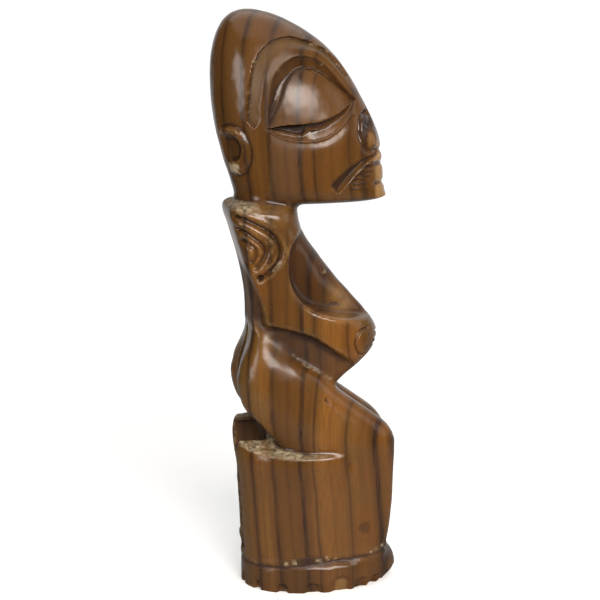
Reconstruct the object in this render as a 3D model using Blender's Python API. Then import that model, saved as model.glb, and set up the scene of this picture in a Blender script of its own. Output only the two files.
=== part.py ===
"""A carved wooden tiki: a squatting figure with a tall head, both hands on its belly, on a drum-shaped
seat with a toed foot band. Figure and seat are cut from one block, so they are one solid.

The figure is drawn in units of UNIT, DRAWN_HEIGHT of them from the floor to the top of the head. A point
is (forward, side, up): forward from the middle of the seat, side from the plane of symmetry towards the
figure's left, and up from the floor. The figure looks along -Y. The seat and the foot band have sizes of
their own, in metres.
"""

import math

import bmesh
import bpy
import numpy as np

# Driving sizes, in metres.
FIGURE_HEIGHT = 0.220
SEAT_BACK = 0.0316  # from the middle of the seat to its back wall, at the ledge
SEAT_FRONT = 0.0242  # the seat's front between the shins, which stand out from it
SEAT_HALF_WIDTH = 0.0200
SEAT_DRAFT = 0.0018  # how much the back wall draws in from the ledge down to the foot band
RIGHT_LEDGE_HEIGHT = 0.0546
LEFT_LEDGE_HEIGHT = 0.0626  # the maker left this ledge higher
LEDGE_RISE = 0.0036  # how much a ledge climbs from its outer edge to the middle of the seat
SEAT_CLEFT_WIDTH = 0.0076
SEAT_CLEFT_DEPTH = 0.0120
BAND_HEIGHT = 0.0108
BAND_BACK = 0.0290
BAND_FRONT = 0.0315
BAND_HALF_WIDTH = 0.0208
NOTCH_WIDTH = 0.0040
NOTCH_HEIGHT = 0.0044
NOTCH_DEPTH = 0.0011
LARGE_NOTCH_WIDTH = 0.0054
LARGE_NOTCH_HEIGHT = 0.0056

# Fineness of the solid.
DRAWN_HEIGHT = 220.0
UNIT = FIGURE_HEIGHT / DRAWN_HEIGHT  # metres in one unit of the figure
VOXEL = 0.0008
SOLID_TRIANGLES = 9600
RING_POINTS = 200
RING_STEP = 0.6
BELOW_FLOOR = 0.0015  # the blank reaches this far below the floor and is then sawn off flat

WOOD_COLOUR = (0.30, 0.14, 0.05, 1.0)
WOOD_ROUGHNESS = 0.35

# The mid line seen from the side: (up, back, front) of the torso, from the crotch to the neck.
TORSO = [
    (76, -28.0, 0.5),
    (80, -29.4, 6.6),
    (84, -30.0, 11.2),
    (88, -29.9, 16.6),
    (92, -28.6, 20.4),
    (97, -26.8, 22.7),
    (101, -26.4, 22.6),
    (105, -26.4, 20.4),
    (110, -26.4, 16.4),
    (118, -27.2, 9.4),
    (126, -28.8, 2.9),
    (135, -31.2, -3.6),
    (141, -32.9, -6.9),
    (146, -34.4, -7.8),
    (148.5, -34.2, -8.2),
    (150, -32.0, -9.2),
]
# The head's mid line, with its half width at each height.
HEAD = [
    (148.4, -22.0, 6.0, 3.6),
    (149.2, -29.6, 19.0, 10.2),
    (150.3, -30.6, 25.1, 14.0),
    (153, -31.0, 25.9, 17.0),
    (158, -32.4, 25.4, 18.4),
    (165, -34.6, 24.8, 19.3),
    (171, -36.2, 24.0, 20.0),
    (177, -37.6, 22.2, 20.5),
    (184, -38.6, 18.8, 20.9),
    (191, -39.1, 15.0, 20.9),
    (198, -39.3, 10.7, 20.2),
    (205, -38.7, 5.0, 18.3),
    (210, -37.5, -0.8, 15.8),
    (214.2, -35.7, -7.4, 12.6),
    (217.3, -33.3, -13.6, 9.2),
    (219.2, -30.4, -19.2, 5.4),
    (220.1, -27.6, -23.4, 2.0),
]
# One leg: (up, back, front, half width), from inside the seat to the hip.
LEG = [
    (8, -12.0, 25.6, 8.6),
    (15, -12.0, 25.9, 8.6),
    (22, -12.0, 27.1, 8.6),
    (32, -12.0, 28.1, 8.8),
    (46, -12.0, 28.6, 9.2),
    (54, -14.0, 28.9, 9.6),
    (58, -17.0, 28.8, 9.9),
    (61, -19.4, 27.6, 10.0),
    (64, -22.0, 25.4, 10.0),
    (68, -25.8, 20.6, 10.0),
    (72, -29.2, 15.2, 10.0),
    (76, -30.9, 9.8, 10.0),
    (80, -31.8, 5.0, 10.0),
    (84, -32.1, 1.2, 9.9),
    (88, -31.7, -4.4, 9.6),
    (92, -30.1, -11.6, 9.0),
    (96, -27.6, -17.6, 7.8),
    (100, -26.2, -21.8, 6.0),
    (103, -26.4, -25.0, 3.4),
    (104.5, -26.0, -25.4, 0.6),
]
LEG_OFFSET = 9.6
# A scrap of wood left on the back of the seat's left half, as the leg is given.
HEEL_LUG = [(12.0, -28.2, -22, 2.6), (13.5, -29.0, -22, 3.0), (19.0, -29.6, -22, 3.2),
            (20.8, -28.6, -22, 2.6)]
HEEL_LUG_OFFSET = 6.5
KNEE_START = 49.0  # above this the seat's block gives way to the knees
KNEE_SEAT_REACH = 8.0
ROOF_CLOSING = 0.85  # how much of the seat's width is gone where a ledge is highest
SHOULDER_WIDTH = 18.6
CHEST_WIDTH = 12.0
CHEST_AXIS = -14.0
WAIST_WIDTH = 13.6
SPINE_WIDTH = 11.0
HIP_WIDTH = 14.5
NECK_WIDTH = 13.6
CORE_WIDTH = 8.5
CORE_BEHIND = 6.5  # how far the gap between the thighs reaches in

# Carved lines on the side of the figure: (forward, up).
ARM_BACK = [(-36.5, 144), (-34.7, 138.8), (-31.3, 132), (-27.6, 124.5), (-24.6, 117), (-22.6, 110),
            (-21.8, 104)]
FOREARM_LOW = [(-22, 105.6), (-12.7, 103.3), (-4.3, 100.4), (4.5, 94.7), (10.9, 90.2), (19, 85)]
CHEST_HOLLOW = [(-5.5, 141.5), (-8.5, 139.4), (-11.2, 136.8), (-13.1, 132.5), (-13.5, 127.6), (-12.9, 122.0),
                (-10.6, 116.4), (-5.8, 111.4), (0.8, 108.4), (8.8, 106.5), (16.0, 105.4), (24, 104.6)]
SHOULDER_EDGE = [(-25.5, 146.8), (-21.4, 145.1), (-17.7, 142.5), (-15.3, 139.6), (-13.4, 136.2)]
SHOULDER_PIT = (-24.3, 123.4)
SHOULDER_GROOVES = [
    [(-33.0, 146.0), (-29.6, 145.0), (-25.6, 143.3), (-21.4, 140.9), (-17.9, 137.3), (-16.6, 133.4),
     (-17.2, 129.8), (-20.2, 126.0), (-24.2, 123.4)],
    [(-32.4, 141.4), (-29.4, 140.2), (-26.2, 138.1), (-23.3, 135.9), (-22.2, 132.8), (-23.4, 130.0),
     (-25.6, 127.4)],
    [(-30.6, 137.2), (-28.0, 135.8), (-26.0, 134.0), (-25.7, 132.0), (-27.4, 129.4)],
]
CRESCENT_OUTER = [(-25.9, 177.9), (-27.9, 180.2), (-28.4, 185), (-28.2, 190), (-26.9, 197.5), (-24.2, 204.2),
                  (-19.6, 208.6), (-13.6, 210.4), (-7.6, 209.4), (0.6, 206.2), (6.6, 201.5), (10.8, 196.0)]
CRESCENT_INNER = [(-25.9, 177.9), (-24.2, 180.2), (-24.0, 185), (-23.5, 190), (-21.6, 198.4), (-18.3, 203.8),
                  (-13.9, 206.2), (-7.0, 206.4), (-0.2, 204.0), (5.4, 199.0), (10.8, 193.4)]
BROW_CREST = [(-20.9, 177.9), (-21.0, 184.5), (-20.5, 190), (-18.8, 196.6), (-15.0, 201.2), (-10.6, 203.4),
              (-5.2, 203.4), (0.4, 200.7), (6.2, 194.8), (12.6, 187.7)]
EYE_UPPER = [(-20.9, 177.9), (-18.6, 182.6), (-16.2, 188), (-13.8, 194), (-10.6, 197.8), (-6.2, 199.2),
             (-1.6, 198.2), (3.2, 195.0), (8.0, 190.8), (12.6, 187.5)]
EYE_LOWER = [(-20.9, 178.0), (-15.3, 179.1), (-8.0, 179.5), (-1.0, 180.4), (4.6, 182.6), (9.2, 185.2),
             (12.6, 187.3)]
LID_GROOVE = [(-20.9, 177.7), (-17.3, 177.0), (-13.3, 176.2), (-7.8, 175.9), (-6.8, 176.8), (-1.0, 177.8),
              (3.2, 179.8), (7.7, 182.2), (12.6, 187.1)]
LID_EDGE = [(-20.9, 177.5), (-16.1, 174.7), (-12.0, 173.6), (-7.2, 173.2), (-2.2, 173.6), (1.6, 174.8),
            (5.4, 177.4), (8.9, 180.6), (12.7, 186.8)]
EYE_CORNER_STEP = -7.4
EYEBALL = (-4.5, 185.0)
EYEBALL_SIZE = (16.0, 14.5)
EAR_MIDDLE = (-32.8, 169.6)
EAR_SIZE = (5.8, 9.0)
EAR_HOLLOW = (-33.6, 170.4)
EAR_HOLLOW_SIZE = (3.7, 5.6)
EAR_LEAN = math.radians(12)
NOSTRIL_LINE = [(20.6, 181.4), (17.6, 183.0), (14.6, 181.4), (13.7, 177.8), (13.8, 173.8), (14.9, 170.4),
                (17.4, 168.7), (21.0, 168.9)]
NOSE_POCKET = (17.6, 179.6)
NOSE_POCKET_SIZE = (1.9, 2.6)
NOSTRIL = (18.8, 173.4)
NOSTRIL_SIZE = (3.4, 4.2)
MOUTH_TOP = [(22.0, 168.2), (15.6, 166.2), (11.4, 164.4), (7.6, 162.0), (4.3, 159.2), (2.2, 156.6)]
MOUTH_LOW = [(22.0, 167.2), (15.8, 164.8), (11.7, 161.4), (8.8, 158.3), (6.5, 155.6), (5.2, 154.0)]
LIP_LINES = [168.6, 163.7, 156.4]
HAND = [(17.4, 102.2), (14.6, 101.8), (12.8, 99.6), (12.1, 97.0), (12.8, 94.4), (14.4, 92.5), (17.2, 91.8)]
FINGERS = [[(18.0, 99.6), (24.0, 99.2)], [(17.2, 97.2), (24.0, 96.8)], [(17.4, 94.8), (24.0, 94.6)]]
NOTCH_ANGLES = [-172, -156, -141, -128, -119, -104, -78, -60, -49, -36, -20, -5, 14, 32, 50, 68, 88, 108, 130,
                150, 168]
LARGE_NOTCH_ANGLE = -78

# How deep the carving goes, in units. A rise stands out instead.
CRESCENT_DEPTH = (2.0, 0.5)  # at its outer line and at its inner line
BROW_DEPTH = (0.5, 3.1)  # inside the brow's crest and at the eyeball
SLIT_DEPTH = 3.6
LID_DEPTH = (1.9, 0.4)  # at the slit and at the lid's lower edge
EYEBALL_DROP = 2.6  # from the top of the ball to its rim
EAR_RISE = 0.9
EAR_HOLLOW_DEPTH = 2.2
NOSTRIL_LINE_CUT = (2.2, 1.3)  # a cut's width and depth
NOSE_POCKET_DEPTH = 1.1
NOSTRIL_RISE = 0.8
MOUTH_DEPTH = (0.5, 1.9)  # at its upper line and at its lower line
LIP_RIDGE = (1.8, -0.7)
LIP_LINE_DEPTH = 0.9
SHOULDER_EDGE_CUT = (1.6, 0.5)
SHOULDER_GROOVE_DEPTH = 1.4
SHOULDER_PIT_DEPTH = 0.9
HAND_CUT = (1.8, 1.1)
FINGER_CUT = (1.6, 0.9)
PARTING_DEPTH = 1.2  # between the two hands
FURROW_DEPTH = 2.2
SOFT_LINE = 1.1  # how far a rounded groove reaches to each side


def to_units(metres):
    return metres / UNIT


def smooth_step(start, end, value):
    """0 before start, 1 after end, with an even slope between them."""
    share = np.clip((value - start) / (end - start), 0.0, 1.0)
    return share * share * (3.0 - 2.0 * share)


def smooth_through(knots, values, at):
    """A cubic curve through values at the knots, read at the given places. Values have columns."""
    knots = np.asarray(knots, float)
    values = np.asarray(values, float)
    slopes = np.gradient(values, knots, axis=0)
    span = np.clip(np.searchsorted(knots, at, side="right") - 1, 0, len(knots) - 2)
    width = (knots[span + 1] - knots[span])[:, None]
    t = (at - knots[span])[:, None] / width
    return (
        (2 * t**3 - 3 * t**2 + 1) * values[span]
        + (t**3 - 2 * t**2 + t) * width * slopes[span]
        + (3 * t**2 - 2 * t**3) * values[span + 1]
        + (t**3 - t**2) * width * slopes[span + 1]
    )


def path_through(points, step=0.8):
    """A smooth path through the points, with a point about every step."""
    points = np.asarray(points, float)
    along = np.concatenate([[0.0], np.cumsum(np.linalg.norm(np.diff(points, axis=0), axis=1))])
    return smooth_through(along, points, np.linspace(0.0, along[-1], int(along[-1] / step) + 2))


def distance_to(path, at):
    """How far each place is from a path of straight pieces."""
    best = np.full(len(at), np.inf)
    for start, run in zip(path[:-1], np.diff(path, axis=0)):
        share = np.clip((at - start) @ run / max(run @ run, 1e-12), 0.0, 1.0)
        best = np.minimum(best, np.linalg.norm(at - start - share[:, None] * run, axis=1))
    return best


def depth_inside(outline, at):
    """How deep each place lies inside a closed outline. Outside it is negative."""
    closed = np.vstack([outline, outline[:1]])
    inside = np.zeros(len(at), bool)
    for (x0, z0), (x1, z1) in zip(closed[:-1], closed[1:]):
        spans = (z0 > at[:, 1]) != (z1 > at[:, 1])
        rise = z1 - z0 if z1 != z0 else 1e-12
        inside ^= spans & (at[:, 0] < x0 + (at[:, 1] - z0) / rise * (x1 - x0))
    distance = distance_to(closed, at)
    return np.where(inside, distance, -distance)


def between(first, second, at):
    """How deep each place lies between two carved lines, and its share of the way from first to second."""
    a, b = path_through(first), path_through(second)
    to_a, to_b = distance_to(a, at), distance_to(b, at)
    return depth_inside(np.vstack([a, b[::-1]]), at), to_a / (to_a + to_b + 1e-9)


def ring_shape(squareness, back_squareness):
    """Evenly spaced points on a unit superellipse as (reach, swing). Squareness 2 is round."""
    angle = np.linspace(0.0, 2 * math.pi, 40 * RING_POINTS + 1)
    cos, sin = np.cos(angle), np.sin(angle)
    power = 2.0 / np.where(cos < 0, back_squareness, squareness)
    reach = np.sign(cos) * np.abs(cos) ** power
    swing = np.sign(sin) * np.abs(sin) ** power
    along = np.concatenate([[0.0], np.cumsum(np.hypot(np.diff(reach), np.diff(swing)))])
    even = np.linspace(0.0, along[-1], RING_POINTS, endpoint=False)
    return np.interp(even, along, reach), np.interp(even, along, swing)


def stack(sections, squareness=2.2, back_squareness=None, narrowing=0.0, offset=0.0, limit=None, side=None,
          clip=None):
    """Points and faces of a body built of level rings, from sections (up, back, front, half width).

    narrowing draws the front in. offset moves the body sideways. limit(forward, up) is the half width that
    the carving leaves. side keeps one side of the body only. clip(up) is as far forward as it may reach.
    """
    sections = np.asarray(sections, float)
    count = int(np.ptp(sections[:, 0]) / RING_STEP) + 2
    heights = np.linspace(sections[0, 0], sections[-1, 0], count)
    reach, swing = ring_shape(squareness, back_squareness or squareness)
    rings = []
    for up, (back, front, half) in zip(heights, smooth_through(sections[:, 0], sections[:, 1:], heights)):
        forward = (back + front) / 2 + (front - back) / 2 * reach
        sideways = half * swing * (1 - narrowing * (1 + reach) / 2)
        if clip is not None:
            forward = np.minimum(forward, clip(up))
        if limit is not None:
            sideways = np.sign(sideways) * np.minimum(np.abs(sideways), limit(forward, up))
        sideways = sideways + offset
        if side is not None:
            sideways = side * np.maximum(0.0, sideways * side)
        rings.append(np.stack([forward, sideways, np.full(RING_POINTS, up)], axis=1))
    faces = []
    for i in range(count - 1):
        low, high = i * RING_POINTS, (i + 1) * RING_POINTS
        for j in range(RING_POINTS):
            k = (j + 1) % RING_POINTS
            faces.append((low + j, low + k, high + k, high + j))
    faces.append(tuple(reversed(range(RING_POINTS))))
    faces.append(tuple(range((count - 1) * RING_POINTS, count * RING_POINTS)))
    return np.concatenate(rings), faces


def torso_limit():
    """The half width that the carver left on the torso, as a function of forward and up."""
    arm_back = path_through(ARM_BACK)[::-1]
    forearm = path_through(FOREARM_LOW)
    hollow = np.vstack([path_through(CHEST_HOLLOW), [(40, 104), (40, 160), (4, 160)]])
    rows = np.asarray(TORSO, float)

    def limit(forward, up):
        at = np.stack([forward, np.full_like(forward, up)], axis=1)
        allowed = np.full_like(forward, SHOULDER_WIDTH)
        back_edge = np.interp(up, arm_back[:, 1], arm_back[:, 0])
        behind = smooth_step(0.5, -0.5, forward - back_edge)
        low_back = SPINE_WIDTH + (HIP_WIDTH - SPINE_WIDTH) * smooth_step(108, 98, up)
        allowed -= behind * (SHOULDER_WIDTH - low_back)
        low_edge = np.interp(forward, forearm[:, 0], forearm[:, 1])
        below = smooth_step(0.4, -0.8, up - low_edge)
        allowed = np.minimum(allowed, SHOULDER_WIDTH - below * (SHOULDER_WIDTH - WAIST_WIDTH))
        keel = np.interp(up, rows[:, 0], rows[:, 2])
        toward_keel = np.clip((forward - CHEST_AXIS) / (keel - CHEST_AXIS), 0.0, 1.0)
        chest = CHEST_WIDTH * (1 - toward_keel**1.9) ** 0.62
        inside = depth_inside(hollow, at)
        chest = chest - 0.9 * np.exp(-(((inside - 3.5) / 3.5) ** 2)) * (chest > 4)
        wall = smooth_step(-0.2, 1.0, inside)
        return np.minimum(allowed, SHOULDER_WIDTH * (1 - wall) + chest * wall)

    return limit


def add_mesh(name, parts):
    """One object that holds several bodies, in metres, looking along -Y."""
    points, faces, first = [], [], 0
    for body_points, body_faces in parts:
        points.append(body_points)
        faces += [tuple(first + corner for corner in face) for face in body_faces]
        first += len(body_points)
    points = np.concatenate(points) * UNIT
    turned = np.stack([points[:, 1], -points[:, 0], points[:, 2]], axis=1)
    mesh = bpy.data.meshes.new(name)
    mesh.from_pydata(turned.tolist(), [], faces)
    mesh.update()
    thing = bpy.data.objects.new(name, mesh)
    bpy.context.scene.collection.objects.link(thing)
    return thing


def evaluated_mesh(thing):
    """A new mesh of the object as its modifiers leave it."""
    graph = bpy.context.evaluated_depsgraph_get()
    return bpy.data.meshes.new_from_object(thing.evaluated_get(graph), depsgraph=graph)


def apply_modifiers(thing):
    mesh = evaluated_mesh(thing)
    thing.modifiers.clear()
    old = thing.data
    thing.data = mesh
    bpy.data.meshes.remove(old)


def fuse(thing, size):
    """Melt the overlapping bodies of an object into one skin."""
    modifier = thing.modifiers.new("fuse", "REMESH")
    modifier.mode = "VOXEL"
    modifier.voxel_size = size
    modifier.adaptivity = 0.0
    apply_modifiers(thing)


def smooth(thing, rounds):
    modifier = thing.modifiers.new("smooth", "SMOOTH")
    modifier.factor = 0.5
    modifier.iterations = rounds
    apply_modifiers(thing)


def cut_away(thing, cutter):
    """Take the cutter's shape out of the object."""
    modifier = thing.modifiers.new("cut", "BOOLEAN")
    modifier.operation = "DIFFERENCE"
    modifier.object = cutter
    apply_modifiers(thing)
    bpy.data.objects.remove(cutter)


def seat_sections(top):
    """The drum under the figure, from below the floor to a ledge."""
    back = -to_units(SEAT_BACK)
    front = to_units(SEAT_FRONT)
    half = to_units(SEAT_HALF_WIDTH)
    draft = to_units(SEAT_DRAFT)
    band_top = to_units(BAND_HEIGHT)
    return [
        (-to_units(BELOW_FLOOR), back + draft, front - 2.8, half - 0.6),
        (band_top + 3, back + draft, front - 2.8, half - 0.6),
        (0.75 * band_top + 0.25 * top, back + 0.7 * draft, front - 0.9, half - 0.3),
        (0.4 * band_top + 0.6 * top, back + 0.2 * draft, front, half),
        (top - 0.8, back, front, half),
        (top, back + 0.3, front - 0.6, half - 0.4),
    ]


def knee_clip(up):
    """How far forward the seat reaches. Above the start of the knees it stays behind them."""
    return 2 * to_units(BAND_FRONT) if up <= KNEE_START else KNEE_SEAT_REACH


def roof(height):
    """The half width of the seat near its top. A ledge slopes up from its outer edge to the middle."""
    half = to_units(SEAT_HALF_WIDTH)

    def limit(forward, up):
        over = max(0.0, up - height) / to_units(LEDGE_RISE)
        return np.full_like(forward, 2 * half if over == 0 else half * (1 - ROOF_CLOSING * over))

    return limit


def band_sections():
    back = to_units(BAND_BACK)
    front = to_units(BAND_FRONT)
    half = to_units(BAND_HALF_WIDTH)
    top = to_units(BAND_HEIGHT)
    return [
        (-to_units(BELOW_FLOOR), -back + 0.4, front - 5.4, half - 0.8),
        (0.12 * top, -back + 0.2, front - 2.8, half - 0.3),
        (0.36 * top, -back, front - 0.2, half),
        (0.65 * top, -back, front - 0.5, half - 0.1),
        (0.92 * top, -back + 0.2, front - 1.9, half - 0.3),
        (1.0 * top, -back + 0.6, front - 2.8, half - 0.8),
        (1.06 * top, -back + 2.0, front - 5.0, half - 2.2),
    ]


def blank():
    """The roughed-out block: head, neck, torso, legs, seat and foot band."""
    torso = [(up, back, front, SHOULDER_WIDTH) for up, back, front in TORSO]
    torso[-1] = (*TORSO[-1], SHOULDER_WIDTH - 4.5)
    torso[-2] = (*TORSO[-2], SHOULDER_WIDTH - 1.8)
    neck = [(140, -31.5, -8.2, NECK_WIDTH), (150, -30.8, -8.0, NECK_WIDTH), (158, -30.8, -4.0, NECK_WIDTH)]
    core = [
        (up, back + 1.4, front - CORE_BEHIND, CORE_WIDTH)
        for up, back, front, half in LEG
        if up > to_units(RIGHT_LEDGE_HEIGHT) - 9 and front - back > 20
    ]
    right, left, rise = to_units(RIGHT_LEDGE_HEIGHT), to_units(LEFT_LEDGE_HEIGHT), to_units(LEDGE_RISE)
    bodies = [
        stack(HEAD, squareness=2.35, narrowing=0.12),
        stack(neck),
        stack(torso, squareness=2.5, back_squareness=5.0, limit=torso_limit()),
        stack(core, squareness=2.6),
        stack(seat_sections(right + rise), side=-1, clip=knee_clip, limit=roof(right)),
        stack(seat_sections(left + rise), side=1, clip=knee_clip, limit=roof(left)),
        stack(band_sections(), squareness=2.1),
        stack(HEEL_LUG, offset=HEEL_LUG_OFFSET),
    ]
    for side in (-1, 1):
        bodies.append(stack(LEG, squareness=2.3, offset=side * LEG_OFFSET))
    return add_mesh("tiki", bodies)


def seat_cleft():
    """The slot between the two halves of the seat, open at the back and above the ledges."""
    width = to_units(SEAT_CLEFT_WIDTH)
    back = to_units(SEAT_BACK)
    depth = to_units(SEAT_CLEFT_DEPTH)
    low = to_units(BAND_HEIGHT)
    high = to_units(LEFT_LEDGE_HEIGHT + LEDGE_RISE) + 1
    rows = [
        (low, -back - 6, -back + 1.0, width / 2),
        (low + 6, -back - 6, -back + 0.8 * depth, width / 2),
        (high - 8, -back - 6, -back + depth, width / 2),
        (high, -back - 6, -back + 0.8 * depth, width / 2),
    ]
    return add_mesh("cleft", [stack(rows, squareness=5.0)])


def within(middle, size, forward, up, lean=0.0):
    """Distance from the middle of a leaning ellipse: 1 on its rim."""
    along, above = forward - middle[0], up - middle[1]
    cos, sin = math.cos(lean), math.sin(lean)
    return np.hypot((along * cos + above * sin) / size[0], (above * cos - along * sin) / size[1])


def mixed(ends, share):
    """Between the two given values."""
    return ends[0] + (ends[1] - ends[0]) * share


def eye_depth(forward, up):
    """The crescent over the brow, the hollow inside the brow's crest, the domed ball and the lower lid."""
    at = np.stack([forward, up], axis=1)
    inside, share = between(CRESCENT_OUTER, CRESCENT_INNER, at)
    crescent = smooth_step(-0.3, 0.6, inside) * mixed(CRESCENT_DEPTH, share)
    socket, share = between(BROW_CREST, EYE_UPPER, at)
    hollow = smooth_step(-0.3, 0.6, socket) * mixed(BROW_DEPTH, 1 - (1 - share) ** 1.8)
    ball, _ = between(EYE_UPPER, EYE_LOWER, at)
    off_middle = within(EYEBALL, EYEBALL_SIZE, forward, up)
    eyeball = np.minimum(EYEBALL_DROP, (EYEBALL_DROP + 0.1) * off_middle**2.2 - 0.3)
    slit, share = between(EYE_LOWER, LID_GROOVE, at)
    shelf = smooth_step(EYE_CORNER_STEP - 0.8, EYE_CORNER_STEP + 0.8, forward)
    cut = smooth_step(-0.3, 0.6, slit) * (SLIT_DEPTH - shelf * (0.4 + 1.8 * share))
    lid, share = between(LID_GROOVE, LID_EDGE, at)
    lid_slope = smooth_step(-0.3, 0.5, lid) * mixed(LID_DEPTH, share)
    return crescent + np.where((ball > 0) & (slit < 0), eyeball, np.maximum.reduce([hollow, cut, lid_slope]))


def carve(points, outward):
    """Move the points of the fused skin to cut the carved detail. outward is the skin's level normal."""
    forward, side, up = points[:, 0], np.abs(points[:, 1]), points[:, 2]
    at = np.stack([forward, up], axis=1)

    def groove(line, cut, where):
        """A cut along a line, or a ridge where its depth is negative."""
        width, deep = cut
        return deep * where * smooth_step(width / 2, width * 0.12, distance_to(path_through(line), at))

    face = smooth_step(149, 151, up)
    head = smooth_step(150, 152, up) * smooth_step(4, 8, side)
    depth = head * eye_depth(forward, up)

    # The ear: a raised ring round a hollow.
    ear = head * smooth_step(5, 9, side)
    depth -= EAR_RISE * ear * smooth_step(1.06, 0.86, within(EAR_MIDDLE, EAR_SIZE, forward, up, EAR_LEAN))
    hollow = within(EAR_HOLLOW, EAR_HOLLOW_SIZE, forward, up, EAR_LEAN)
    depth += EAR_HOLLOW_DEPTH * ear * smooth_step(1.14, 0.7, hollow)

    # The nose: a hooked line round the nostril, with a small pocket over it.
    nose = face * smooth_step(3, 6, side)
    depth += groove(NOSTRIL_LINE, NOSTRIL_LINE_CUT, nose)
    pocket = within(NOSE_POCKET, NOSE_POCKET_SIZE, forward, up)
    depth += NOSE_POCKET_DEPTH * nose * smooth_step(1.1, 0.6, pocket)
    depth -= NOSTRIL_RISE * nose * smooth_step(1.0, 0.3, within(NOSTRIL, NOSTRIL_SIZE, forward, up))

    # The mouth turns down to the jaw, with a thin lip under it and notches for the lips in front.
    inside, share = between(MOUTH_TOP, MOUTH_LOW, at)
    depth += face * smooth_step(-0.4, 0.6, inside) * mixed(MOUTH_DEPTH, share)
    depth += groove([(f + 0.45, u - 0.75) for f, u in MOUTH_LOW], LIP_RIDGE, face)
    for line in LIP_LINES:
        lip = np.exp(-(((up - line) / SOFT_LINE) ** 2)) * smooth_step(18.5, 21.5, forward)
        depth += LIP_LINE_DEPTH * lip * face

    # Shoulder arcs, each ending behind in a soft point, and the round pit at the end of the longest.
    shoulder = smooth_step(12, 14, side) * smooth_step(119, 121, up) * smooth_step(149, 147, up)
    depth += groove(SHOULDER_EDGE, SHOULDER_EDGE_CUT, shoulder)
    for arc in SHOULDER_GROOVES:
        line = np.exp(-((distance_to(path_through(arc), at) / SOFT_LINE) ** 2))
        depth += SHOULDER_GROOVE_DEPTH * shoulder * line
    depth += SHOULDER_PIT_DEPTH * shoulder * smooth_step(1.7, 0.5, within(SHOULDER_PIT, (1, 1), forward, up))

    # Hands: the heel of the hand and the grooves between the fingers, round to the front of the belly.
    belly = smooth_step(89, 91, up) * smooth_step(105, 103.5, up)
    depth += groove(HAND, HAND_CUT, belly * smooth_step(4, 6, side))
    for finger in FINGERS:
        depth += groove(finger, FINGER_CUT, belly * smooth_step(0.6, 1.4, side))
    depth += PARTING_DEPTH * belly * smooth_step(1.6, 0.4, side) * smooth_step(14, 18, forward)

    # The furrow down the lower back and between the buttocks.
    furrow = smooth_step(64, 68, up) * smooth_step(104, 98, up) * smooth_step(-18, -22, forward)
    depth += FURROW_DEPTH * smooth_step(2.0, 0.2, side) * furrow

    depth += toe_notches(points)
    moved = points.copy()
    moved[:, :2] -= outward * depth[:, None]
    return moved


def toe_notches(points):
    """Round-topped gouges along the lower edge of the foot band, all the way round, spaced by eye."""
    around = np.degrees(np.arctan2(points[:, 1] / BAND_HALF_WIDTH, points[:, 0] / BAND_FRONT))
    radius = np.hypot(points[:, 0], points[:, 1])
    depth = np.zeros(len(points))
    for angle in NOTCH_ANGLES:
        large = angle == LARGE_NOTCH_ANGLE
        half = to_units(LARGE_NOTCH_WIDTH if large else NOTCH_WIDTH) / 2
        top = to_units(LARGE_NOTCH_HEIGHT if large else NOTCH_HEIGHT)
        sideways = np.radians(np.abs((around - angle + 180) % 360 - 180)) * radius
        over = np.clip((points[:, 2] - (top - half)) / half, 0, None)
        depth += to_units(NOTCH_DEPTH) * smooth_step(1.1, 0.6, np.hypot(sideways / half, over))
    return depth


def read_points(mesh):
    """The mesh's points in figure units, as (forward, side, up)."""
    raw = np.empty(len(mesh.vertices) * 3)
    mesh.vertices.foreach_get("co", raw)
    raw = raw.reshape(-1, 3) / UNIT
    return np.stack([-raw[:, 1], raw[:, 0], raw[:, 2]], axis=1)


def write_points(mesh, points):
    turned = np.stack([points[:, 1], -points[:, 0], points[:, 2]], axis=1) * UNIT
    mesh.vertices.foreach_set("co", turned.astype(np.float32).ravel())
    mesh.update()


def level_normals(mesh):
    """Unit normals of the skin laid level, as (forward, side). They fade where the skin faces up or down."""
    raw = np.empty(len(mesh.vertices) * 3)
    mesh.vertex_normals.foreach_get("vector", raw)
    raw = raw.reshape(-1, 3)
    level = np.stack([-raw[:, 1], raw[:, 0]], axis=1)
    length = np.linalg.norm(level, axis=1)[:, None]
    return level / np.maximum(length, 0.35)


def saw_flat(thing):
    """Saw the block off flat at the floor."""
    work = bmesh.new()
    work.from_mesh(thing.data)
    every = work.verts[:] + work.edges[:] + work.faces[:]
    cut = bmesh.ops.bisect_plane(work, geom=every, plane_co=(0, 0, 0), plane_no=(0, 0, 1), clear_inner=True)
    rim = [item for item in cut["geom_cut"] if isinstance(item, bmesh.types.BMEdge)]
    for point in {corner for edge in rim for corner in edge.verts}:
        point.co.z = 0.0
    bmesh.ops.holes_fill(work, edges=rim, sides=0)
    bmesh.ops.triangulate(work, faces=work.faces[:])
    bmesh.ops.recalc_face_normals(work, faces=work.faces[:])
    work.to_mesh(thing.data)
    work.free()


def thin_out(thing, triangles):
    """Fewer triangles, with the form kept."""
    modifier = thing.modifiers.new("thin", "DECIMATE")
    modifier.ratio = triangles / (2 * len(thing.data.polygons))
    apply_modifiers(thing)


def wood():
    material = bpy.data.materials.new("varnished wood")
    material.use_nodes = True
    shader = material.node_tree.nodes["Principled BSDF"]
    shader.inputs["Base Color"].default_value = WOOD_COLOUR
    shader.inputs["Roughness"].default_value = WOOD_ROUGHNESS
    shader.inputs["Metallic"].default_value = 0.0
    return material


def build():
    for thing in list(bpy.data.objects):
        bpy.data.objects.remove(thing)
    tiki = blank()
    fuse(tiki, VOXEL)
    cut_away(tiki, seat_cleft())
    fuse(tiki, VOXEL)
    smooth(tiki, 2)
    points = read_points(tiki.data)
    write_points(tiki.data, carve(points, level_normals(tiki.data)))
    thin_out(tiki, SOLID_TRIANGLES)
    saw_flat(tiki)
    tiki.data.materials.append(wood())
    tiki.data.shade_smooth()


build()
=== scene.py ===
import math

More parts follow.
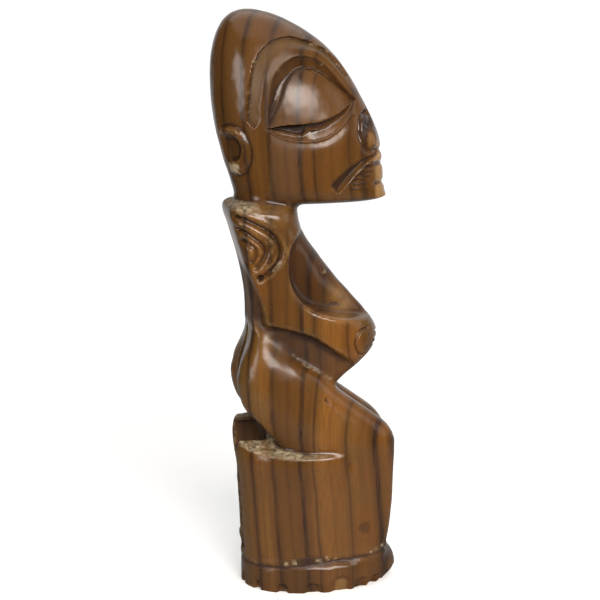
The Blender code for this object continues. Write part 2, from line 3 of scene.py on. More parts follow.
import bmesh
import bpy
import numpy as np
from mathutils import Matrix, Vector


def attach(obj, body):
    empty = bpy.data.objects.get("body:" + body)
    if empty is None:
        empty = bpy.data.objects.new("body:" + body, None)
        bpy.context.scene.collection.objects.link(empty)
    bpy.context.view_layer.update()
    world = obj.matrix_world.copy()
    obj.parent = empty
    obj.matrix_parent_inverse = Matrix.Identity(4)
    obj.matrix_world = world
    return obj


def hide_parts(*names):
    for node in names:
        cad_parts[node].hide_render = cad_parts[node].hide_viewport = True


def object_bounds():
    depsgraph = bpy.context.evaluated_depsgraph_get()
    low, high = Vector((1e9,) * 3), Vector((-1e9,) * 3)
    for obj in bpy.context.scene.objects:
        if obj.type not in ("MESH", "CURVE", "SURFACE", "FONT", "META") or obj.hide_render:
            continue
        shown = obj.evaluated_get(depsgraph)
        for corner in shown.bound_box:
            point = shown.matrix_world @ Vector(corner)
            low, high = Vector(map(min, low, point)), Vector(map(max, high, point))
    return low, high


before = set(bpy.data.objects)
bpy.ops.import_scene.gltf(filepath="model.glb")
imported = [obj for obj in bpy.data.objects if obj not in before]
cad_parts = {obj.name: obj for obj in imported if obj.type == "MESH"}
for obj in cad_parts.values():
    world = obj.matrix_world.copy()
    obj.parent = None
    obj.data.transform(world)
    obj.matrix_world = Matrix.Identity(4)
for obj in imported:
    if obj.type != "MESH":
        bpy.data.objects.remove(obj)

# The wooden tiki as the photograph shows it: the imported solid's form, carved finer, in striped varnished
# wood. A point is (forward, side, up) in millimetres: forward from the middle of the seat, side from the
# plane of symmetry towards the figure's left, and up from the floor. The figure looks along -Y.

cad_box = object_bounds()
CAD_HEIGHT = 1000 * (cad_box[1][2] - cad_box[0][2])
UNIT = 0.001 * CAD_HEIGHT / 220.0

# Seat and foot band.
SEAT_BACK = 31.6
SEAT_HALF_WIDTH = 20.0
SEAT_DRAFT = 1.8
SEAT_FRONT = 24.2
RIGHT_LEDGE_HEIGHT = 54.6
LEFT_LEDGE_HEIGHT = 62.6
LEDGE_RISE = 3.6
KNEE_START = 49.0
KNEE_SEAT_REACH = 8.0
SEAT_CLEFT_WIDTH = 7.6
SEAT_CLEFT_DEPTH = 12.0
BAND_HEIGHT = 10.8
BAND_BACK = 29.0
BAND_FRONT = 31.5
BAND_HALF_WIDTH = 20.8
BELOW_FLOOR = 1.5
FAR = 30.0

# How finely the mesh is made: the voxel in metres, the rest in millimetres or rounds.
VOXEL = 0.0009
RING_POINTS = 260
RING_STEP = 0.5
SMOOTH_ROUNDS = 2
SOFTEN_ROUNDS = 28
SOFT_REACH = 1.5
FINE_REACH = 0.62
NEAR_ROUNDS = 5
FAR_ROUNDS = 50

# The mid line seen from the side: (up, back, front) of the torso, from the crotch to the neck.
TORSO = [
    (76, -28, 0.5), (80, -29.4, 6.6), (84, -30, 11.2), (88, -29.9, 16.6), (92, -28.6, 20.4),
    (97, -26.8, 22.7), (101, -26.4, 22.6), (105, -26.4, 20.4), (110, -26.4, 16.4), (118, -27.2, 9.4),
    (126, -28.8, 2.9), (135, -31.2, -3.6), (141, -32.9, -6.9), (146, -34.4, -7.8), (148.5, -34.2, -8.2),
    (150, -32, -9.2),
]
# The head's mid line, with its half width at each height.
HEAD = [
    (148.4, -22, 6, 3.6), (149.2, -29.6, 19, 10.2), (150.3, -30.6, 25.1, 14), (153, -31, 25.9, 17),
    (158, -32.4, 25.4, 18.4), (165, -34.6, 24.8, 19.3), (171, -36.2, 24, 20), (177, -37.6, 22.2, 20.5),
    (184, -38.6, 18.8, 20.9), (191, -39.1, 15, 20.9), (198, -39.3, 10.7, 20.2), (205, -38.7, 5, 18.3),
    (210, -37.5, -0.8, 15.8), (214.2, -35.7, -7.4, 12.6), (217.3, -33.3, -13.6, 9.2),
    (219.2, -30.4, -19.2, 5.4), (220.1, -27.6, -23.4, 2),
]
# One leg: (up, back, front, half width), from inside the seat to the hip.
LEG = [
    (8, -12, 25.6, 8.6), (15, -12, 25.9, 8.6), (22, -12, 27.1, 8.6), (32, -12, 28.1, 8.8),
    (46, -12, 28.6, 9.2), (54, -14, 28.9, 9.6), (58, -17, 28.8, 9.9), (61, -19.4, 27.6, 10),
    (64, -22, 25.4, 10), (68, -25.8, 20.6, 10), (72, -29.2, 15.2, 10), (76, -30.9, 9.8, 10),
    (80, -31.8, 5, 10), (84, -32.1, 1.2, 9.9), (88, -31.7, -4.4, 9.6), (92, -30.1, -11.6, 9),
    (96, -27.6, -17.6, 7.8), (100, -26.2, -21.8, 6), (103, -26.4, -25, 3.4), (104.5, -26, -25.4, 0.6),
]
LEG_OFFSET = 9.6
# A scrap of wood that the carver left on the back of the seat's left half.
HEEL_LUG = [(12, -28.2, -22, 2.6), (13.5, -29, -22, 3), (19, -29.6, -22, 3.2), (20.8, -28.6, -22, 2.6)]
HEEL_LUG_OFFSET = 6.5
SHOULDER_WIDTH = 18.6
CHEST_WIDTH = 12.0
CHEST_AXIS = -14.0
WAIST_WIDTH = 13.6
SPINE_WIDTH = 11.0
HIP_WIDTH = 14.5
NECK_WIDTH = 13.6
CORE_WIDTH = 8.5
CORE_BEHIND = 6.5

# Carved lines on the side of the figure: (forward, up).
ARM_BACK = [
    (-36.5, 144), (-34.7, 138.8), (-31.3, 132), (-27.6, 124.5), (-24.6, 117), (-22.6, 110), (-21.8, 104),
]
FOREARM_LOW = [(-22, 105.6), (-12.7, 103.3), (-4.3, 100.4), (4.5, 94.7), (10.9, 90.2), (19, 85)]
CHEST_HOLLOW = [
    (-5.5, 141.5), (-8.5, 139.4), (-11.2, 136.8), (-13.1, 132.5), (-13.5, 127.6), (-12.9, 122),
    (-10.6, 116.4), (-5.8, 111.4), (0.8, 108.4), (8.8, 106.5), (16, 105.4), (24, 104.6),
]
SHOULDER_EDGE = [(-25.5, 146.8), (-21.4, 145.1), (-17.7, 142.5), (-15.3, 139.6), (-13.4, 136.2)]
SHOULDER_GROOVES = [
    [(-33, 146), (-29.6, 145), (-25.6, 143.3), (-21.4, 140.9), (-17.9, 137.3), (-16.6, 133.4),
     (-17.2, 129.8), (-20.2, 126), (-24.2, 123.4)],
    [(-32.4, 141.4), (-29.4, 140.2), (-26.2, 138.1), (-23.3, 135.9), (-22.2, 132.8), (-23.4, 130),
     (-25.6, 127.4)],
    [(-30.6, 137.2), (-28, 135.8), (-26, 134), (-25.7, 132), (-27.4, 129.4)],
]
CRESCENT_OUTER = [
    (-25.9, 177.9), (-27.9, 180.2), (-28.4, 185), (-28.2, 190), (-26.9, 197.5), (-24.2, 204.2),
    (-19.6, 208.6), (-13.6, 210.4), (-7.6, 209.4), (0.6, 206.2), (6.6, 201.5), (10.8, 196),
]
CRESCENT_INNER = [
    (-25.9, 177.9), (-24.2, 180.2), (-24, 185), (-23.5, 190), (-21.6, 198.4), (-18.3, 203.8), (-13.9, 206.2),
    (-7, 206.4), (-0.2, 204), (5.4, 199), (10.8, 193.4),
]
BROW_CREST = [
    (-20.9, 177.9), (-21, 184.5), (-20.5, 190), (-18.8, 196.6), (-15, 201.2), (-10.6, 203.4), (-5.2, 203.4),
    (0.4, 200.7), (6.2, 194.8), (12.6, 187.7),
]
EYE_UPPER = [
    (-20.9, 177.9), (-18.6, 182.6), (-16.2, 188), (-13.8, 194), (-10.6, 197.8), (-6.2, 199.2), (-1.6, 198.2),
    (3.2, 195), (8, 190.8), (12.6, 187.5),
]
EYE_LOWER = [
    (-20.9, 178), (-15.3, 179.1), (-8, 179.5), (-1, 180.4), (4.6, 182.6), (9.2, 185.2), (12.6, 187.3),
]
LID_GROOVE = [
    (-20.9, 177.7), (-17.3, 177), (-13.3, 176.2), (-7.8, 175.9), (-6.8, 176.8), (-1, 177.8), (3.2, 179.8),
    (7.7, 182.2), (12.6, 187.1),
]
LID_EDGE = [
    (-20.9, 177.5), (-16.1, 174.7), (-12, 173.6), (-7.2, 173.2), (-2.2, 173.6), (1.6, 174.8), (5.4, 177.4),
    (8.9, 180.6), (12.7, 186.8),
]
EYE_CORNER_STEP = -7.4
EYEBALL = (-4.5, 185.0)
EYEBALL_SIZE = (16.0, 14.5)
EYEBALL_LEAN = 0.125  # the ball's top lies deeper than its foot
EAR_MIDDLE = (-32.8, 169.6)
EAR_SIZE = (5.8, 9.0)
EAR_HOLLOW = (-33.6, 170.4)
EAR_HOLLOW_SIZE = (3.7, 5.6)
EAR_LEAN = math.radians(12)
NOSTRIL_LINE = [
    (20.6, 181.4), (17.6, 183), (14.6, 181.4), (13.7, 177.8), (13.8, 173.8), (14.9, 170.4), (17.4, 168.7),
    (21, 168.9),
]
NOSE_POCKET = (17.8, 180.2)
NOSE_POCKET_SIZE = (2.4, 3.4)
NOSTRIL = (18.8, 173.4)
MOUTH_TOP = [(22.0, 168.2), (15.6, 166.2), (11.4, 164.4), (7.6, 162.0), (4.3, 159.2), (2.2, 156.6)]
MOUTH_LOW = [(22.0, 167.2), (15.8, 164.8), (11.7, 161.4), (8.8, 158.3), (6.5, 155.6), (5.2, 154.0)]
LIP_LINES = [168.6, 163.7, 156.4]
JAW_SCRATCHES = [
    ((11.6, 160.2), (18.6, 161.6)), ((10.8, 158.4), (17.2, 159.6)), ((11.4, 157), (16.4, 156.8)),
    ((10.6, 155.2), (17.8, 154.6)), ((15, 163.6), (18.8, 163.2)),
]
HAND = [(17.4, 102.2), (14.6, 101.8), (12.8, 99.6), (12.1, 97.0), (12.8, 94.4), (14.4, 92.5), (17.2, 91.8)]
FINGERS = [[(18.0, 99.6), (24.0, 99.2)], [(17.2, 97.2), (24.0, 96.8)], [(17.4, 94.8), (24.0, 94.6)]]
NOTCHES = [-170, -145, -122, -99, -78, -62, -49, -36, -20, -4, 14, 32, 50, 68, 88, 108, 130, 150, 168]
BIG_NOTCH = -78
BIG_NOTCH_SIZE = (3.2, 6.6)
BAND_ZONE = 20.0


def ease(start, end, value):
    share = np.clip((value - start) / (end - start), 0.0, 1.0)
    return share * share * (3.0 - 2.0 * share)


def smooth_through(knots, values, at):
    """A cubic curve through values at the knots, read at the given places. Values have columns."""
    knots = np.asarray(knots, float)
    values = np.asarray(values, float)
    slopes = np.gradient(values, knots, axis=0)
    span = np.clip(np.searchsorted(knots, at, side="right") - 1, 0, len(knots) - 2)
    width = (knots[span + 1] - knots[span])[:, None]
    t = (at - knots[span])[:, None] / width
    return (
        (2 * t**3 - 3 * t**2 + 1) * values[span]
        + (t**3 - 2 * t**2 + t) * width * slopes[span]
        + (3 * t**2 - 2 * t**3) * values[span + 1]
        + (t**3 - t**2) * width * slopes[span + 1]
    )


def path_through(points, step=0.8):
    points = np.asarray(points, float)
    along = np.concatenate([[0.0], np.cumsum(np.linalg.norm(np.diff(points, axis=0), axis=1))])
    return smooth_through(along, points, np.linspace(0.0, along[-1], int(along[-1] / step) + 2))


def distance_to(path, at):
    """How far each place is from a path of straight pieces, or FAR when it is well away."""
    best = np.full(len(at), FAR)
    near = np.all((at > path.min(axis=0) - FAR) & (at < path.max(axis=0) + FAR), axis=1)
    at = at[near]
    found = np.full(len(at), FAR)
    for start, run in zip(path[:-1], np.diff(path, axis=0)):
        share = np.clip((at - start) @ run / max(run @ run, 1e-12), 0.0, 1.0)
        found = np.minimum(found, np.linalg.norm(at - start - share[:, None] * run, axis=1))
    best[near] = found
    return best


def depth_inside(outline, at):
    """How deep each place lies inside a closed outline. Outside it is negative."""
    closed = np.vstack([outline, outline[:1]])
    inside = np.zeros(len(at), bool)
    for (x0, z0), (x1, z1) in zip(closed[:-1], closed[1:]):
        spans = (z0 > at[:, 1]) != (z1 > at[:, 1])
        rise = z1 - z0 if z1 != z0 else 1e-12
        inside ^= spans & (at[:, 0] < x0 + (at[:, 1] - z0) / rise * (x1 - x0))
    distance = distance_to(closed, at)
    return np.where(inside, distance, -distance)


def between(first, second, at):
    """A band between two carved lines: depth inside it, and the share of the way from first to second."""
    a, b = path_through(first), path_through(second)
    to_a, to_b = distance_to(a, at), distance_to(b, at)
    return depth_inside(np.vstack([a, b[::-1]]), at), to_a / (to_a + to_b + 1e-9)


def ring_shape(squareness, back_squareness):
    """Evenly spaced points on a unit superellipse as (reach, swing). Squareness 2 is round."""
    angle = np.linspace(0.0, 2 * math.pi, 40 * RING_POINTS + 1)
    cos, sin = np.cos(angle), np.sin(angle)
    power = 2.0 / np.where(cos < 0, back_squareness, squareness)
    reach = np.sign(cos) * np.abs(cos) ** power
    swing = np.sign(sin) * np.abs(sin) ** power
    along = np.concatenate([[0.0], np.cumsum(np.hypot(np.diff(reach), np.diff(swing)))])
    even = np.linspace(0.0, along[-1], RING_POINTS, endpoint=False)
    return np.interp(even, along, reach), np.interp(even, along, swing)


def stack(sections, squareness=2.2, back_squareness=None, narrowing=0.0, offset=0.0, limit=None, side=None,
          clip=None):
    """Points and faces of a body built of level rings, from sections (up, back, front, half width)."""
    sections = np.asarray(sections, float)
    count = int(np.ptp(sections[:, 0]) / RING_STEP) + 2
    heights = np.linspace(sections[0, 0], sections[-1, 0], count)
    reach, swing = ring_shape(squareness, back_squareness or squareness)
    rings = []
    for up, (back, front, half) in zip(heights, smooth_through(sections[:, 0], sections[:, 1:], heights)):
        forward = (back + front) / 2 + (front - back) / 2 * reach
        sideways = half * swing * (1 - narrowing * (1 + reach) / 2)
        if clip is not None:
            forward = np.minimum(forward, clip(up))
        if limit is not None:
            sideways = np.sign(sideways) * np.minimum(np.abs(sideways), limit(forward, up))
        sideways = sideways + offset
        if side is not None:
            sideways = side * np.maximum(0.0, sideways * side)
        rings.append(np.stack([forward, sideways, np.full(RING_POINTS, up)], axis=1))
    faces = []
    for i in range(count - 1):
        low, high = i * RING_POINTS, (i + 1) * RING_POINTS
        for j in range(RING_POINTS):
            k = (j + 1) % RING_POINTS
            faces.append((low + j, low + k, high + k, high + j))
    faces.append(tuple(reversed(range(RING_POINTS))))
    faces.append(tuple(range((count - 1) * RING_POINTS, count * RING_POINTS)))
    return np.concatenate(rings), faces


def chest_outline():
    """The hollow of the chest, closed well in front of the figure."""
    return np.vstack([path_through(CHEST_HOLLOW), [(40, 104), (40, 160), (4, 160)]])


def torso_limit():
    """The half width that the carver left on the torso, as a function of forward and up."""
    arm_back = path_through(ARM_BACK)[::-1]
    forearm = path_through(FOREARM_LOW)
    hollow = chest_outline()
    rows = np.asarray(TORSO, float)

    def limit(forward, up):
        at = np.stack([forward, np.full_like(forward, up)], axis=1)
        allowed = np.full_like(forward, SHOULDER_WIDTH)
        back_edge = np.interp(up, arm_back[:, 1], arm_back[:, 0])
        behind = ease(0.4, -0.4, forward - back_edge)
        low_back = SPINE_WIDTH + (HIP_WIDTH - SPINE_WIDTH) * ease(108, 98, up)
        allowed -= behind * (SHOULDER_WIDTH - low_back)
        low_edge = np.interp(forward, forearm[:, 0], forearm[:, 1])
        below = ease(0.3, -0.6, up - low_edge)
        allowed = np.minimum(allowed, SHOULDER_WIDTH - below * (SHOULDER_WIDTH - WAIST_WIDTH))
        keel = np.interp(up, rows[:, 0], rows[:, 2])
        toward_keel = np.clip((forward - CHEST_AXIS) / (keel - CHEST_AXIS), 0.0, 1.0)
        chest = CHEST_WIDTH * (1 - toward_keel**1.9) ** 0.62
        inside = depth_inside(hollow, at)
        chest = chest - 0.9 * np.exp(-(((inside - 3.5) / 3.5) ** 2)) * (chest > 4)
        wall = ease(-0.1, 0.8, inside)
        return np.minimum(allowed, SHOULDER_WIDTH * (1 - wall) + chest * wall)

    return limit


def seat_sections(top):
    """The drum under the figure, from below the floor to a ledge."""
    back, half, draft, front = -SEAT_BACK, SEAT_HALF_WIDTH, SEAT_DRAFT, SEAT_FRONT
    return [
        (-BELOW_FLOOR, back + draft, front - 2.8, half - 0.6),
        (BAND_HEIGHT + 3, back + draft, front - 2.8, half - 0.6),
        (0.75 * BAND_HEIGHT + 0.25 * top, back + 0.7 * draft, front - 0.9, half - 0.3),
        (0.4 * BAND_HEIGHT + 0.6 * top, back + 0.2 * draft, front, half),
        (top - 0.8, back, front, half),
        (top, back + 0.3, front - 0.6, half - 0.4),
    ]


def knee_clip(up):
    """How far forward the seat reaches: over the start of the knees it stays behind them."""
    return 2 * BAND_FRONT if up <= KNEE_START else KNEE_SEAT_REACH


def roof(height):
    """The half width of the seat near its top: a ledge slopes up from its outer edge to the middle."""

    def limit(forward, up):
        over = max(0.0, up - height) / LEDGE_RISE
        share = 2 if over == 0 else 1 - 0.85 * over
        return np.full_like(forward, SEAT_HALF_WIDTH * share)

    return limit


def band_sections():
    back, front, half, top = -BAND_BACK, BAND_FRONT, BAND_HALF_WIDTH, BAND_HEIGHT
    return [
        (-BELOW_FLOOR, back + 0.4, front - 5.4, half - 0.8),
        (0.12 * top, back + 0.2, front - 2.8, half - 0.3),
        (0.36 * top, back, front - 0.2, half),
        (0.65 * top, back, front - 0.5, half - 0.1),
        (0.92 * top, back + 0.2, front - 1.9, half - 0.3),
        (1.0 * top, back + 0.6, front - 2.8, half - 0.8),
        (1.06 * top, back + 2.0, front - 5.0, half - 2.2),
    ]


def blank():
    """The roughed-out block: head, neck, torso, legs, seat and foot band."""
    torso = [(up, back, front, SHOULDER_WIDTH) for up, back, front in TORSO]
    torso[-1] = (*TORSO[-1], SHOULDER_WIDTH - 4.5)
    torso[-2] = (*TORSO[-2], SHOULDER_WIDTH - 1.8)
    neck = [(140, -31.5, -8.2, NECK_WIDTH), (150, -30.8, -8.0, NECK_WIDTH), (158, -30.8, -4.0, NECK_WIDTH)]
    core = [
        (up, back + 1.4, front - CORE_BEHIND, CORE_WIDTH)
        for up, back, front, half in LEG
        if up > RIGHT_LEDGE_HEIGHT - 9 and front - back > 20
    ]
    right, left = RIGHT_LEDGE_HEIGHT, LEFT_LEDGE_HEIGHT
    bodies = [
        stack(HEAD, squareness=2.35, narrowing=0.12),
        stack(neck),
        stack(torso, squareness=2.5, back_squareness=5.0, limit=torso_limit()),
        stack(core, squareness=2.6),
        stack(seat_sections(right + LEDGE_RISE), side=-1, clip=knee_clip, limit=roof(right)),
        stack(seat_sections(left + LEDGE_RISE), side=1, clip=knee_clip, limit=roof(left)),
        stack(band_sections(), squareness=2.1),
        stack(HEEL_LUG, offset=HEEL_LUG_OFFSET),
    ]
    for side in (-1, 1):
        bodies.append(stack(LEG, squareness=2.3, offset=side * LEG_OFFSET))
    return add_mesh("tiki_carving", bodies)


def to_world(points):
    """Points in metres, with the figure looking along -Y."""
    return np.stack([points[:, 1], -points[:, 0], points[:, 2]], axis=1) * UNIT


def add_mesh(name, parts):
    """One object that holds several bodies."""
    points, faces, first = [], [], 0
    for body_points, body_faces in parts:
        points.append(body_points)
        faces += [tuple(first + corner for corner in face) for face in body_faces]
        first += len(body_points)
    mesh = bpy.data.meshes.new(name)
    mesh.from_pydata(to_world(np.concatenate(points)).tolist(), [], faces)
    mesh.update()
    thing = bpy.data.objects.new(name, mesh)
    bpy.context.scene.collection.objects.link(thing)
    return thing


def apply_modifiers(thing):
    graph = bpy.context.evaluated_depsgraph_get()
    mesh = bpy.data.meshes.new_from_object(thing.evaluated_get(graph), depsgraph=graph)
    thing.modifiers.clear()
    old = thing.data
    thing.data = mesh
    bpy.data.meshes.remove(old)


def fuse(thing, size):
    """Melt the overlapping bodies of an object into one skin."""
    modifier = thing.modifiers.new("fuse", "REMESH")
    modifier.mode = "VOXEL"
    modifier.voxel_size = size
    modifier.adaptivity = 0.0
    apply_modifiers(thing)


def smooth(thing, rounds):
    modifier = thing.modifiers.new("smooth", "SMOOTH")
    modifier.factor = 0.5
    modifier.iterations = rounds
    apply_modifiers(thing)


def cut_away(thing, cutter):
    modifier = thing.modifiers.new("cut", "BOOLEAN")
    modifier.operation = "DIFFERENCE"
    modifier.object = cutter
    apply_modifiers(thing)
    bpy.data.objects.remove(cutter)


def seat_cleft():
    """The slot between the two halves of the seat, open at the back and above the ledges."""
    half, back, depth = SEAT_CLEFT_WIDTH / 2, -SEAT_BACK, SEAT_CLEFT_DEPTH
    high = LEFT_LEDGE_HEIGHT + 2
    rows = [
        (BAND_HEIGHT, back - 6, back + 1.0, half),
        (BAND_HEIGHT + 6, back - 6, back + 0.8 * depth, half),
        (high - 8, back - 6, back + depth, half),
        (high, back - 6, back + 0.8 * depth, half),
    ]
    return add_mesh("cleft", [stack(rows, squareness=5.0)])


def waves(at, sizes, seed):
    """Smooth uneven height between about -1 and 1, from waves of the given lengths in millimetres."""
    source = np.random.default_rng(seed)
    total = np.zeros(len(at))
    for size in sizes:
        for _ in range(6):
            heading = source.normal(size=at.shape[1])
            heading *= 2 * math.pi / (size * source.uniform(0.7, 1.4) * np.linalg.norm(heading))
            total += np.sin(at @ heading + source.uniform(0, 2 * math.pi))
    return total / (2.2 * math.sqrt(len(sizes) * 6))


FINE_LINES = [EYE_UPPER, EYE_LOWER, LID_GROOVE, LID_EDGE, CRESCENT_OUTER, MOUTH_LOW]
SOFT_LINES = SHOULDER_GROOVES + [HAND, NOSTRIL_LINE, BROW_CREST, MOUTH_TOP]
TOE_ZONE = 6.5
THIGH_CHIPS = [
    ([(-7.2, 89.6), (-4.2, 88), (-1, 85.8)], 0.7), ([(0.8, 84.6), (3.6, 82.6)], 0.5),
    ([(-11.5, 92.8), (-9, 91)], 0.45),
]


def refine(thing, reach, lines, zone=0.0):
    """Halve the mesh's edges within reach of the carved lines, and low on the foot band."""
    points = read_points(thing.data)
    at = points[:, [0, 2]]
    away = np.full(len(at), FAR)
    for line in lines:
        away = np.minimum(away, distance_to(path_through(line), at))
    close = (away < reach) & (np.abs(points[:, 1]) > 4)
    close |= (points[:, 2] > -0.5) & (points[:, 2] < zone)
    work = bmesh.new()
    work.from_mesh(thing.data)
    work.verts.ensure_lookup_table()
    chosen = [edge for edge in work.edges if close[edge.verts[0].index] and close[edge.verts[1].index]]
    bmesh.ops.subdivide_edges(work, edges=chosen, cuts=1, use_grid_fill=True)
    work.to_mesh(thing.data)
    work.free()


# What a cut does to the finish, painted shade and stains (dark) and painted light (light) among it: each is a
# share from 0 to 1, and an attribute of the mesh.
FINISH_AND_PAINTED_LIGHT = ("rough", "pale", "worn", "dark", "matte", "light")


class Carver:
    """Collects how deep each point of the skin is cut, what the cut does to the finish, and the painted shade
    and light that go with it.
    """

    def __init__(self, points, normals):
        self.points = points
        self.normals = normals
        self.outward = level(normals)
        self.forward, self.side, self.up = points[:, 0], np.abs(points[:, 1]), points[:, 2]
        self.at = np.stack([self.forward, self.up], axis=1)
        self.right = points[:, 1] < 0
        self.depth = np.zeros(len(points))
        self.finish = {name: np.zeros(len(points)) for name in FINISH_AND_PAINTED_LIGHT}

    def mark(self, **shares):
        """Raise parts of the finish, painted shade and painted light among them, to the given shares where
        they are lower.
        """
        for name, share in shares.items():
            self.finish[name] = np.maximum(self.finish[name], share)

    def away(self, line):
        """How far each point is from a carved line."""
        return distance_to(path_through(line), self.at)

    def off(self, middle, size=(1, 1)):
        """How far each point is from the middle of an oval: 1 on its edge."""
        return np.hypot((self.forward - middle[0]) / size[0], (self.up - middle[1]) / size[1])

    def blot(self, middle, size):
        """A soft round patch."""
        return np.exp(-(self.off(middle, size) ** 2))

    def waves(self, sizes, seed):
        return waves(self.points, sizes, seed)

    def groove(self, line, width, deep, where):
        cut = ease(width / 2, 0.06 * width, self.away(line)) * where
        self.depth += deep * cut
        return cut

    def fold(self, line, width, deep, where):
        """A soft valley, with the wood between two of them left as a rounded fold."""
        self.depth += deep * np.exp(-((self.away(line) / width) ** 2)) * where

    def head(self):
        return ease(150, 152, self.up) * ease(4, 8, self.side)

    def eye(self):
        at, head = self.at, self.head()
        inside, share = between(CRESCENT_OUTER, CRESCENT_INNER, at)
        ragged = 0.34 * self.waves([4.5, 2.2], 18) * ease(0.6, 0.1, share) * ease(5, 0, self.forward)
        floor = ease(-0.2, 0.5, inside + ragged)
        self.depth += head * floor * (0.45 + 1.35 * (1 - share))
        self.mark(rough=0.7 * floor * head, worn=ease(0, 0.6, inside) * head)
        # Along the crescent's outer wall a dark line: painted shade under the wall, with stain.
        rim = self.away(CRESCENT_OUTER)
        uneven = 0.6 + 0.4 * self.waves([5, 2.5], 13)
        self.mark(dark=head * 0.85 * ease(1.2, 0.3, rim) * floor * uneven)
        chips = ease(0.30, 0.65, self.waves([3.6, 1.8], 19)) * ease(1.3, 0.5, rim)
        self.mark(pale=0.55 * chips * head * (self.up > 200))
        socket, share = between(BROW_CREST, EYE_UPPER, at)
        reach = self.off(EYEBALL, EYEBALL_SIZE)
        dome = 1.2 * reach**3 - 0.2 + EYEBALL_LEAN * (self.up - 181)
        valley = np.minimum(0.5 + 2.8 * (1 - (1 - share) ** 1.8), dome + 0.5)
        hollow = ease(-0.2, 0.5, socket) * valley
        ball, _ = between(EYE_UPPER, EYE_LOWER, at)
        slit, share_slit = between(EYE_LOWER, LID_GROOVE, at)
        shelf = ease(EYE_CORNER_STEP - 0.3, EYE_CORNER_STEP + 0.3, self.forward)
        cut = ease(-0.2, 0.5, slit) * (4.0 - shelf * (0.4 + 2.2 * share_slit))
        lid, share_lid = between(LID_GROOVE, LID_EDGE, at)
        lid_slope = ease(-0.2, 0.4, lid) * (0.45 + 1.5 * (1 - share_lid))
        eye = np.maximum.reduce([hollow, cut, lid_slope])
        on_ball = ease(-0.35, 0.35, ball) * (slit < 0.2)
        self.depth += head * (eye + (np.minimum(3.3, dome) - eye) * on_ball)
        # Painted shade: inside the brow crest, in the slit under the ball and along the ball's edge.
        steep = ease(0.0, 0.4, socket) * ease(0.75, 0.05, share)
        tight = ease(4.0, 9.0, self.forward) * ease(0.0, 0.5, socket)
        brow = np.maximum(0.62 * steep, 0.85 * tight) * (0.75 + 0.25 * self.waves([6, 3], 14))
        chips = ease(0.35, 0.7, self.waves([3.2, 1.6], 20)) * ease(0.5, 0.2, np.abs(socket - 0.3))
        self.mark(pale=0.5 * chips * head * (self.up > 196))
        shade = ease(0.1, 0.6, slit) * (1 - 0.45 * shelf * ease(0.1, 0.8, share_slit))
        seam = ease(0.55, 0.15, np.abs(ball)) * (socket > -0.3) * 0.5
        self.mark(dark=head * np.maximum.reduce([brow, shade, seam]))
        crest = self.away(BROW_CREST[:5])
        glare = np.maximum(self.blot((-18.0, 201), (5, 7)), 0.8 * ease(1.6, 0.6, crest))
        # Painted shade along the back of the ball's edge, which is dulled as well.
        seam = ease(1.3, 0.3, np.abs(ball)) * ease(-6, -11, self.forward) * (self.up > 180)
        dull = np.maximum.reduce([0.7 * glare, 0.8 * seam, 0.6 * ease(0.1, 0.6, slit), 0.08 * on_ball])
        self.mark(dark=0.7 * head * seam, matte=head * dull)
        below = ease(0.0, -0.4, lid) * ease(0.0, -0.4, slit) * (self.up < 182) * (self.forward > -20)
        edge = self.away(LID_EDGE)
        self.depth += head * 0.5 * np.exp(-((edge / 2.4) ** 2)) * below
        self.mark(matte=0.4 * below * head * ease(-6, -12, self.forward))
        self.depth -= 0.5 * head * self.blot((-2, 167), (13, 8))

    def ear(self):
        cos, sin = math.cos(EAR_LEAN), math.sin(EAR_LEAN)

        def ring(middle, size):
            along, up = self.forward - middle[0], self.up - middle[1]
            return np.hypot((along * cos + up * sin) / size[0], (up * cos - along * sin) / size[1])

        where = self.head() * ease(5, 9, self.side)
        outer, inner = ring(EAR_MIDDLE, EAR_SIZE), ring(EAR_HOLLOW, EAR_HOLLOW_SIZE)
        self.depth -= where * 0.9 * ease(1.04, 0.88, outer)
        self.depth += where * 2.3 * ease(1.12, 0.72, inner)
        self.depth += where * 0.5 * ease(1.22, 1.08, outer) * ease(0.96, 1.06, outer)
        chip = np.hypot((self.up - 163.2) / 1.8, (self.side - 9.5) / 4.5) + 0.35 * self.waves([4, 2], 15)
        chip = ease(1.1, 0.8, chip) * (self.forward < -30) * self.right
        # The chip is raw wood; the ear's hollow gets painted shade.
        self.mark(pale=chip, dark=0.35 * where * ease(1.0, 0.6, inner))

    def face(self):
        at, face = self.at, ease(149, 151, self.up)
        side_face = face * ease(3, 6, self.side)
        arch = ease(170.5, 175.5, self.up)
        line = self.groove(NOSTRIL_LINE, 2.2, 1.3, side_face * (0.35 + 0.65 * arch)) * (0.3 + 0.7 * arch)
        pocket = ease(1.1, 0.6, self.off(NOSE_POCKET, NOSE_POCKET_SIZE)) * side_face
        self.depth += 1.1 * pocket
        # Painted shade in the nostril groove and its pocket.
        self.mark(dark=np.maximum(0.9 * line, 0.85 * pocket))
        wing = self.off((18.2, 177.0), (4.3, 8.2))
        oval = self.off((17.9, 172.9), (1.5, 3.4))
        shade = 0.62 * ease(1.1, 0.85, wing) * ease(0.8, 1.15, oval)
        # Painted shade under the nose's wing, and a painted highlight on the nostril's oval.
        self.mark(dark=shade * side_face, light=0.35 * ease(1.0, 0.6, oval) * side_face)
        self.depth -= 0.8 * ease(1.0, 0.3, self.off(NOSTRIL, (3.4, 4.2))) * side_face
        inside, share = between(MOUTH_TOP, MOUTH_LOW, at)
        mouth = ease(-0.4, 0.5, inside) * face
        self.depth += mouth * (0.5 + 1.4 * share)
